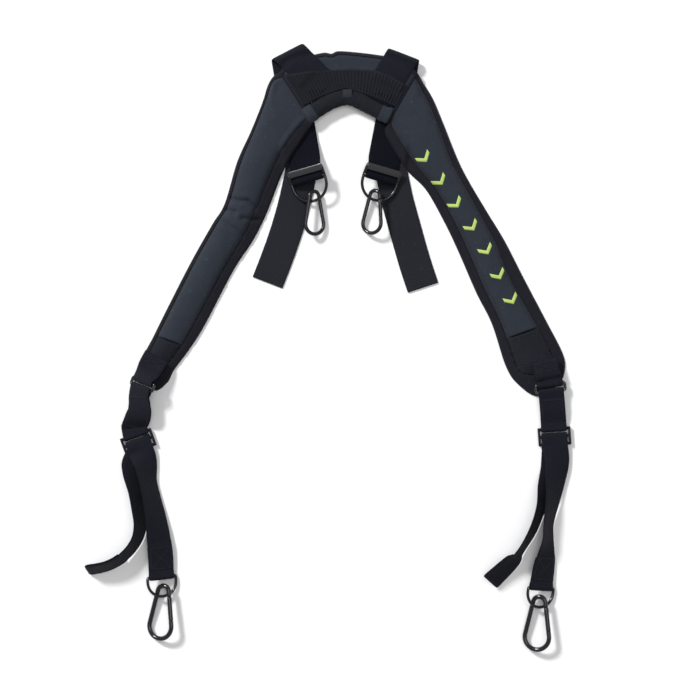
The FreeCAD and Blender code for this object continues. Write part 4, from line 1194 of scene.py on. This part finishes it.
def make_tail(side):
    """The free end: from under the adjuster's middle bar, out beside the strap, with a folded tip."""
    lock = lock_place(side)
    points, across = along_path(FRONT[side]["tail"])
    aside = np.dot(points[0] - lock.base, lock.x) * 0.2
    under = -TURN + 0.05 * MM
    start = [lock.at(0, 2.6 * MM + SLACK, -1.4 * MM), lock.at(0, 0, under), lock.at(aside, -12 * MM, under)]
    rows = smooth_line(rows_of(start + points, [lock.x] * len(start) + across), 260)
    far = lengths_along(rows[:, :3])
    doubled = smooth01((far - (far[-1] - TAIL_HEM - 3 * MM)) / (5 * MM))
    rows = clear_of_floor(rows, 1.2 * MM * doubled)
    tip = rows[-1].copy()
    tip[:3] += unit(rows[-1, :3] - rows[-2, :3]) * PLY
    folded = off_face(rows, -UNDER_PLY)[far > far[-1] - TAIL_HEM][::-1]
    path = np.vstack([off_face(rows, PLY * doubled)[:-2], tip[None], folded[2:]])
    tail, sewn = strip(f"tail_webbing_{side}", path, HALF_STRAP, seed=17.0 * SIDES[side])
    body = f"tail_{side}"
    tuple(lock.at(0, -10 * MM, 0))
    tuple(lock.at(0, -40 * MM, 0))
    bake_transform(tail)
    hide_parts(f"strap_tail_{side}")
    hem = far[-1] - TAIL_HEM + 2 * MM, far[-1] - 2 * MM
    box_stitch(f"tail_hem_{side}", sewn, *hem, HALF_STRAP, body, cross=False)


# ---------------------------------------------------------------- wire hardware
def rounded_path(corners, radius, closed=True, steps=6):
    """A path through corners with each one turned on a radius."""
    points = []
    count = len(corners)
    corners = [np.array(c, float) for c in corners]
    for i, corner in enumerate(corners):
        if not closed and i in (0, count - 1):
            points.append(corner)
            continue
        before, after = unit(corners[i - 1] - corner), unit(corners[(i + 1) % count] - corner)
        for t in np.linspace(0, 1, steps):
            a, b = corner + before * radius * (1 - t), corner + after * radius * t
            points.append(a * (1 - t) + b * t)
    return np.array(points)


def bow(half, drop, count=40):
    """A half circle that hangs below a bar, from its +x end to its -x end."""
    angles = np.linspace(0, -math.pi, count)
    return [(half * math.cos(a), -drop + half * math.sin(a), 0) for a in angles]


def wire_loop(path):
    """A closed loop of the front hardware's wire."""
    loop = np.vstack([path, path[:1]])
    far = lengths_along(loop)
    even = np.linspace(0, far[-1], int(far[-1] / (0.9 * MM)), endpoint=False)
    return tube(sampled(loop, far, even), WIRE, closed=True, sides=20)


CORNER = 2.6 * MM


def make_ring(side):
    h, d = RING_HALF, RING_REACH / 2
    loop = wire_loop(rounded_path([(-h, d, 0), (h, d, 0), (h, -d, 0), (-h, -d, 0)], CORNER))
    wire = ring_place(side).put(loop)
    ring = mesh_object(f"ring_wire_{side}", wire, BLACK_METAL, f"ring_{side}")
    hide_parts(f"ring_{side}")


def make_dee(side):
    h, drop = RING_HALF, 6 * MM
    bar = [(h, -drop, 0), (h, 0, 0), (-h, 0, 0), (-h, -drop, 0)]
    path = list(rounded_path(bar, CORNER, closed=False, steps=7)) + bow(h, drop)[::-1][1:-1]
    wire = dee_place(side).put(wire_loop(np.array(path)))
    dee = mesh_object(f"dee_wire_{side}", wire, BLACK_METAL, f"dee_{side}")
    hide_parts(f"dee_ring_{side}")


SLIDER_HALF = 21.3 * MM
PLATE_AT = 10.5 * MM
PLATE_LIFT = 2.4 * MM


def slider_plate():
    """The flat upper bar of a slider, rounded off at its ends."""
    rows, around = 60, 24
    tip = SLIDER_HALF + WIRE
    points = []
    for reach in tip * np.linspace(-1, 1, rows):
        end = max(0.0, abs(reach) - (tip - 4 * MM)) / (4 * MM)
        width = 4.1 * MM * math.sqrt(max(0.02, 1 - end**2))
        thick = 1.35 * MM * (1 - 0.3 * end)
        for a in np.linspace(0, 2 * math.pi, around, endpoint=False):
            y = width * math.copysign(abs(math.cos(a)) ** 0.85, math.cos(a))
            z = thick * math.copysign(abs(math.sin(a)) ** 0.85, math.sin(a))
            points.append((reach, PLATE_AT + y, PLATE_LIFT + 0.05 * MM + z))
    return points, turned_over(skin(rows, around))


def make_slider(side):
    place = slider_place(side)
    body = f"rear_slider_{side}"
    h = SLIDER_HALF
    arm = [(h, PLATE_AT, PLATE_LIFT), (h, 3 * MM, 0.6 * MM), (h, 0, 0)]
    other_arm = [(-x, y, z) for x, y, z in arm[::-1]]
    wire = smooth_line(arm + bow(h, 5 * MM) + other_arm, 120)
    bar = np.linspace((-h, 0, 0), (h, 0, 0), 20)
    base = place.put(merged([tube(wire, WIRE, sides=20), tube(bar, 2.0 * MM, sides=20)]))
    frame_part = mesh_object(f"slider_wire_{side}", base, BLACK_METAL, body)
    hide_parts(f"rear_slider_{side}")
    plate = mesh_object(f"slider_plate_{side}", place.put(slider_plate()), SATIN_WITH_PAINTED_GLARE, body)
    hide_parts(f"rear_slider_{side}")


def rounded_slab(size, bevel):
    """A flat block with rounded edges.  size is its whole width, length and thickness."""
    work = bmesh.new()
    bmesh.ops.create_cube(work, size=1.0)
    for v in work.verts:
        v.co = Vector((v.co.x * size[0], v.co.y * size[1], v.co.z * size[2]))
    bmesh.ops.bevel(work, geom=work.edges[:], offset=bevel, segments=3, affect="EDGES", profile=0.6)
    points = [tuple(v.co) for v in work.verts]
    faces = [tuple(v.index for v in f.verts) for f in work.faces]
    work.free()
    return points, faces


LOCK_HALF = 18 * MM
RAIL_SIZE = (2.6 * MM, 21.5 * MM, 4.2 * MM)


def make_lock(side):
    place = lock_place(side)
    body = f"lock_{side}"
    h = LOCK_HALF
    for name, x in (("a", -h), ("b", h)):
        slab = place.moved(x, 0, 0).put(rounded_slab(RAIL_SIZE, 0.8 * MM))
        rail = mesh_object(f"lock_rail_{name}_{side}", slab, MATT, body)
        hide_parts(f"ladder_lock_{side}")
    rows = (-LOCK_PITCH, 0, LOCK_PITCH)
    bars = [tube(np.linspace((-h, y, 0), (h, y, 0), 12), WIRE, sides=18) for y in rows]
    made = mesh_object(f"lock_bars_{side}", place.put(merged(bars)), MATT, body)
    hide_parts(f"ladder_lock_{side}")


def circle_part(radius, drop, first, last, count):
    """Part of a circle round a point that lies that far below the eye's middle."""
    angles = np.linspace(first, last, count)
    return [(radius * math.cos(a), radius * math.sin(a) - drop, 0) for a in angles]


def gate_half(ends, way, across, radius, sign):
    """One half of a gate: flat inside, and cut away near its ends to pass the hook's flattened parts."""
    length = np.linalg.norm(ends[1] - ends[0])
    rows, around = 46, 24
    points = []
    for s in length * np.linspace(0, 1, rows):
        uncut = 4.5 * MM < s < length - 4.0 * MM
        r = radius * (1.0 if min(s, length - s) > 0.5 * MM else 0.86)
        cut = 0.0 if uncut else 1.05 * MM
        for a in np.linspace(0, math.pi, around):
            x, z = r * math.cos(a), r * math.sin(a)
            if cut > z:
                x = math.copysign(min(abs(x), math.sqrt(max(0, r * r - cut * cut))), x)
                z = cut
            points.append(ends[0] + way * s + across * x * sign + Z * z * sign)
    return points, skin(rows, around)


def rivet_mesh(pivot, radius):
    """A low-headed rivet through a hook of that radius."""
    profile = np.array([(0.0, 1.25), (0.12, 1.2), (0.22, 0.85), (0.26, 0.3)]) * MM
    parts = []
    for sign in (1, -1):
        heights = sign * (radius + 0.05 * MM + profile[:, 0])
        parts.append(tube(pivot + np.outer(heights, Z), profile[:, 1], sides=16))
    parts.append(tube(np.linspace(pivot - Z * radius, pivot + Z * radius, 4), 0.8 * MM, sides=12))
    return merged(parts)


def make_hook(kind, side):
    """A wire snap hook: one bent rod, a sprung gate on a rivet, and a hooked nose."""
    place = hook_place(kind, side)
    h = HOOKS[kind]
    radius, eye, belly, span = h["wire"] / 2, h["eye"], h["belly"], h["span"]
    body = f"hook_{side}" if kind == "lower" else f"rear_hook_{side}"
    gate_body = f"gate_{side}" if kind == "lower" else f"rear_gate_{side}"
    node = f"{kind}_hook"
    lean = math.asin((belly - eye) / span)
    out = np.array((math.cos(lean), math.sin(lean), 0))
    start, stop = out * eye, out * belly - Y * span
    way = unit(stop - start)
    across = np.array((way[1], -way[0], 0))
    pivot, nose = start + way * 7.5 * MM, stop - way * 5.5 * MM

    top = circle_part(eye, 0, lean, math.pi - lean, 26)
    low = circle_part(belly, span, math.pi - lean, 2 * math.pi + lean, 44)
    spine = np.linspace(top[-1], low[0], 20)[1:-1]
    stub = np.linspace(pivot - way * 3.2 * MM, start, 6)[:-1]
    nose_part = np.linspace(low[-1], nose + way * 0.2 * MM, 6)[1:]
    parts = [tube(np.vstack([stub, top, spine, low, nose_part]), radius, sides=22)]
    for centre, length in ((pivot - way * 1.0 * MM, 5.6 * MM), (nose - way * 1.2 * MM, 3.6 * MM)):
        reach = way * length / 2
        points, faces = tube(np.linspace(centre - reach, centre + reach, 6), radius * 0.96, sides=22)
        parts.append((points * (1, 1, 0.32), faces))
    rod = place.put(merged(parts))
    made = mesh_object(f"{node}_rod_{side}", rod, BLACK_METAL, body)
    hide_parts(f"{node}_body_{side}")

    ends = pivot - way * 1.2 * MM, nose - way * 0.3 * MM
    halves = place.put(merged([gate_half(ends, way, across, radius, sign) for sign in (1, -1)]))
    gate = mesh_object(f"{node}_gate_rod_{side}", halves, BLACK_METAL, gate_body)
    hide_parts(f"{node}_gate_{side}")
    pin = place.put(rivet_mesh(pivot, radius))
    rivet = mesh_object(f"{node}_pin_{side}", pin, STEEL, body)
    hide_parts(f"{node}_rivet_{side}")


# ---------------------------------------------------------------- everything in place
for side in SIDES:
    make_pad(side)
make_yoke()
make_band()
make_neck_roll()
make_label()
make_motif()
for side in SIDES:
    make_rear_strap(side)
    make_rear_tail(side)
    make_tab(side)
    make_connector(side)
    make_adjusting_strap(side)
    make_tail(side)
    make_ring(side)
    make_dee(side)
    make_slider(side)
    make_lock(side)
    make_hook("rear", side)
    make_hook("lower", side)

# ---------------------------------------------------------------- floor, light and camera
FLOOR_WIDTH = 12.0
FLOOR_HEIGHT = -0.2 * MM
VIEW_WIDTH = 0.7965
DISTANCE = 2.4
FILM = 36.0
VIEW_MIDDLE = (0.0094, 0.0130)

floor_mat = bpy.data.materials.new("pale_floor")
floor_mat.use_nodes = True
floor_shader = floor_mat.node_tree.nodes["Principled BSDF"]
floor_shader.inputs["Base Color"].default_value = (0.86, 0.86, 0.87, 1)
floor_shader.inputs["Roughness"].default_value = 0.8
bpy.ops.mesh.primitive_plane_add(size=FLOOR_WIDTH, location=(0, 0, FLOOR_HEIGHT))
floor = bpy.context.object
floor.data.materials.append(floor_mat)


def area_light(name, place, size, power):
    """A square lamp that faces the middle of the table."""
    data = bpy.data.lights.new(name, "AREA")
    data.shape = "SQUARE"
    data.size = size
    data.energy = power
    light = bpy.data.objects.new(name, data)
    bpy.context.scene.collection.objects.link(light)
    light.location = place
    light.rotation_euler = (-Vector(place)).to_track_quat("-Z", "Y").to_euler()


area_light("key", (-4.2, 4.4, 5.2), 1.3, 640)
area_light("sky", (0.6, 0.6, 4.6), 2.4, 60)
world = bpy.data.worlds.new("studio")
world.use_nodes = True
background = world.node_tree.nodes["Background"]
background.inputs["Color"].default_value = (1, 1, 1, 1)
background.inputs["Strength"].default_value = 0.42
bpy.context.scene.world = world

camera_data = bpy.data.cameras.new("camera")
camera_data.sensor_width = FILM
camera_data.lens = FILM * DISTANCE / VIEW_WIDTH
camera_data.clip_end = 20.0
camera = bpy.data.objects.new("camera", camera_data)
bpy.context.scene.collection.objects.link(camera)
camera.location = (*VIEW_MIDDLE, DISTANCE + 0.01)
bpy.context.scene.camera = camera
bpy.context.scene.view_settings.view_transform = "Standard"
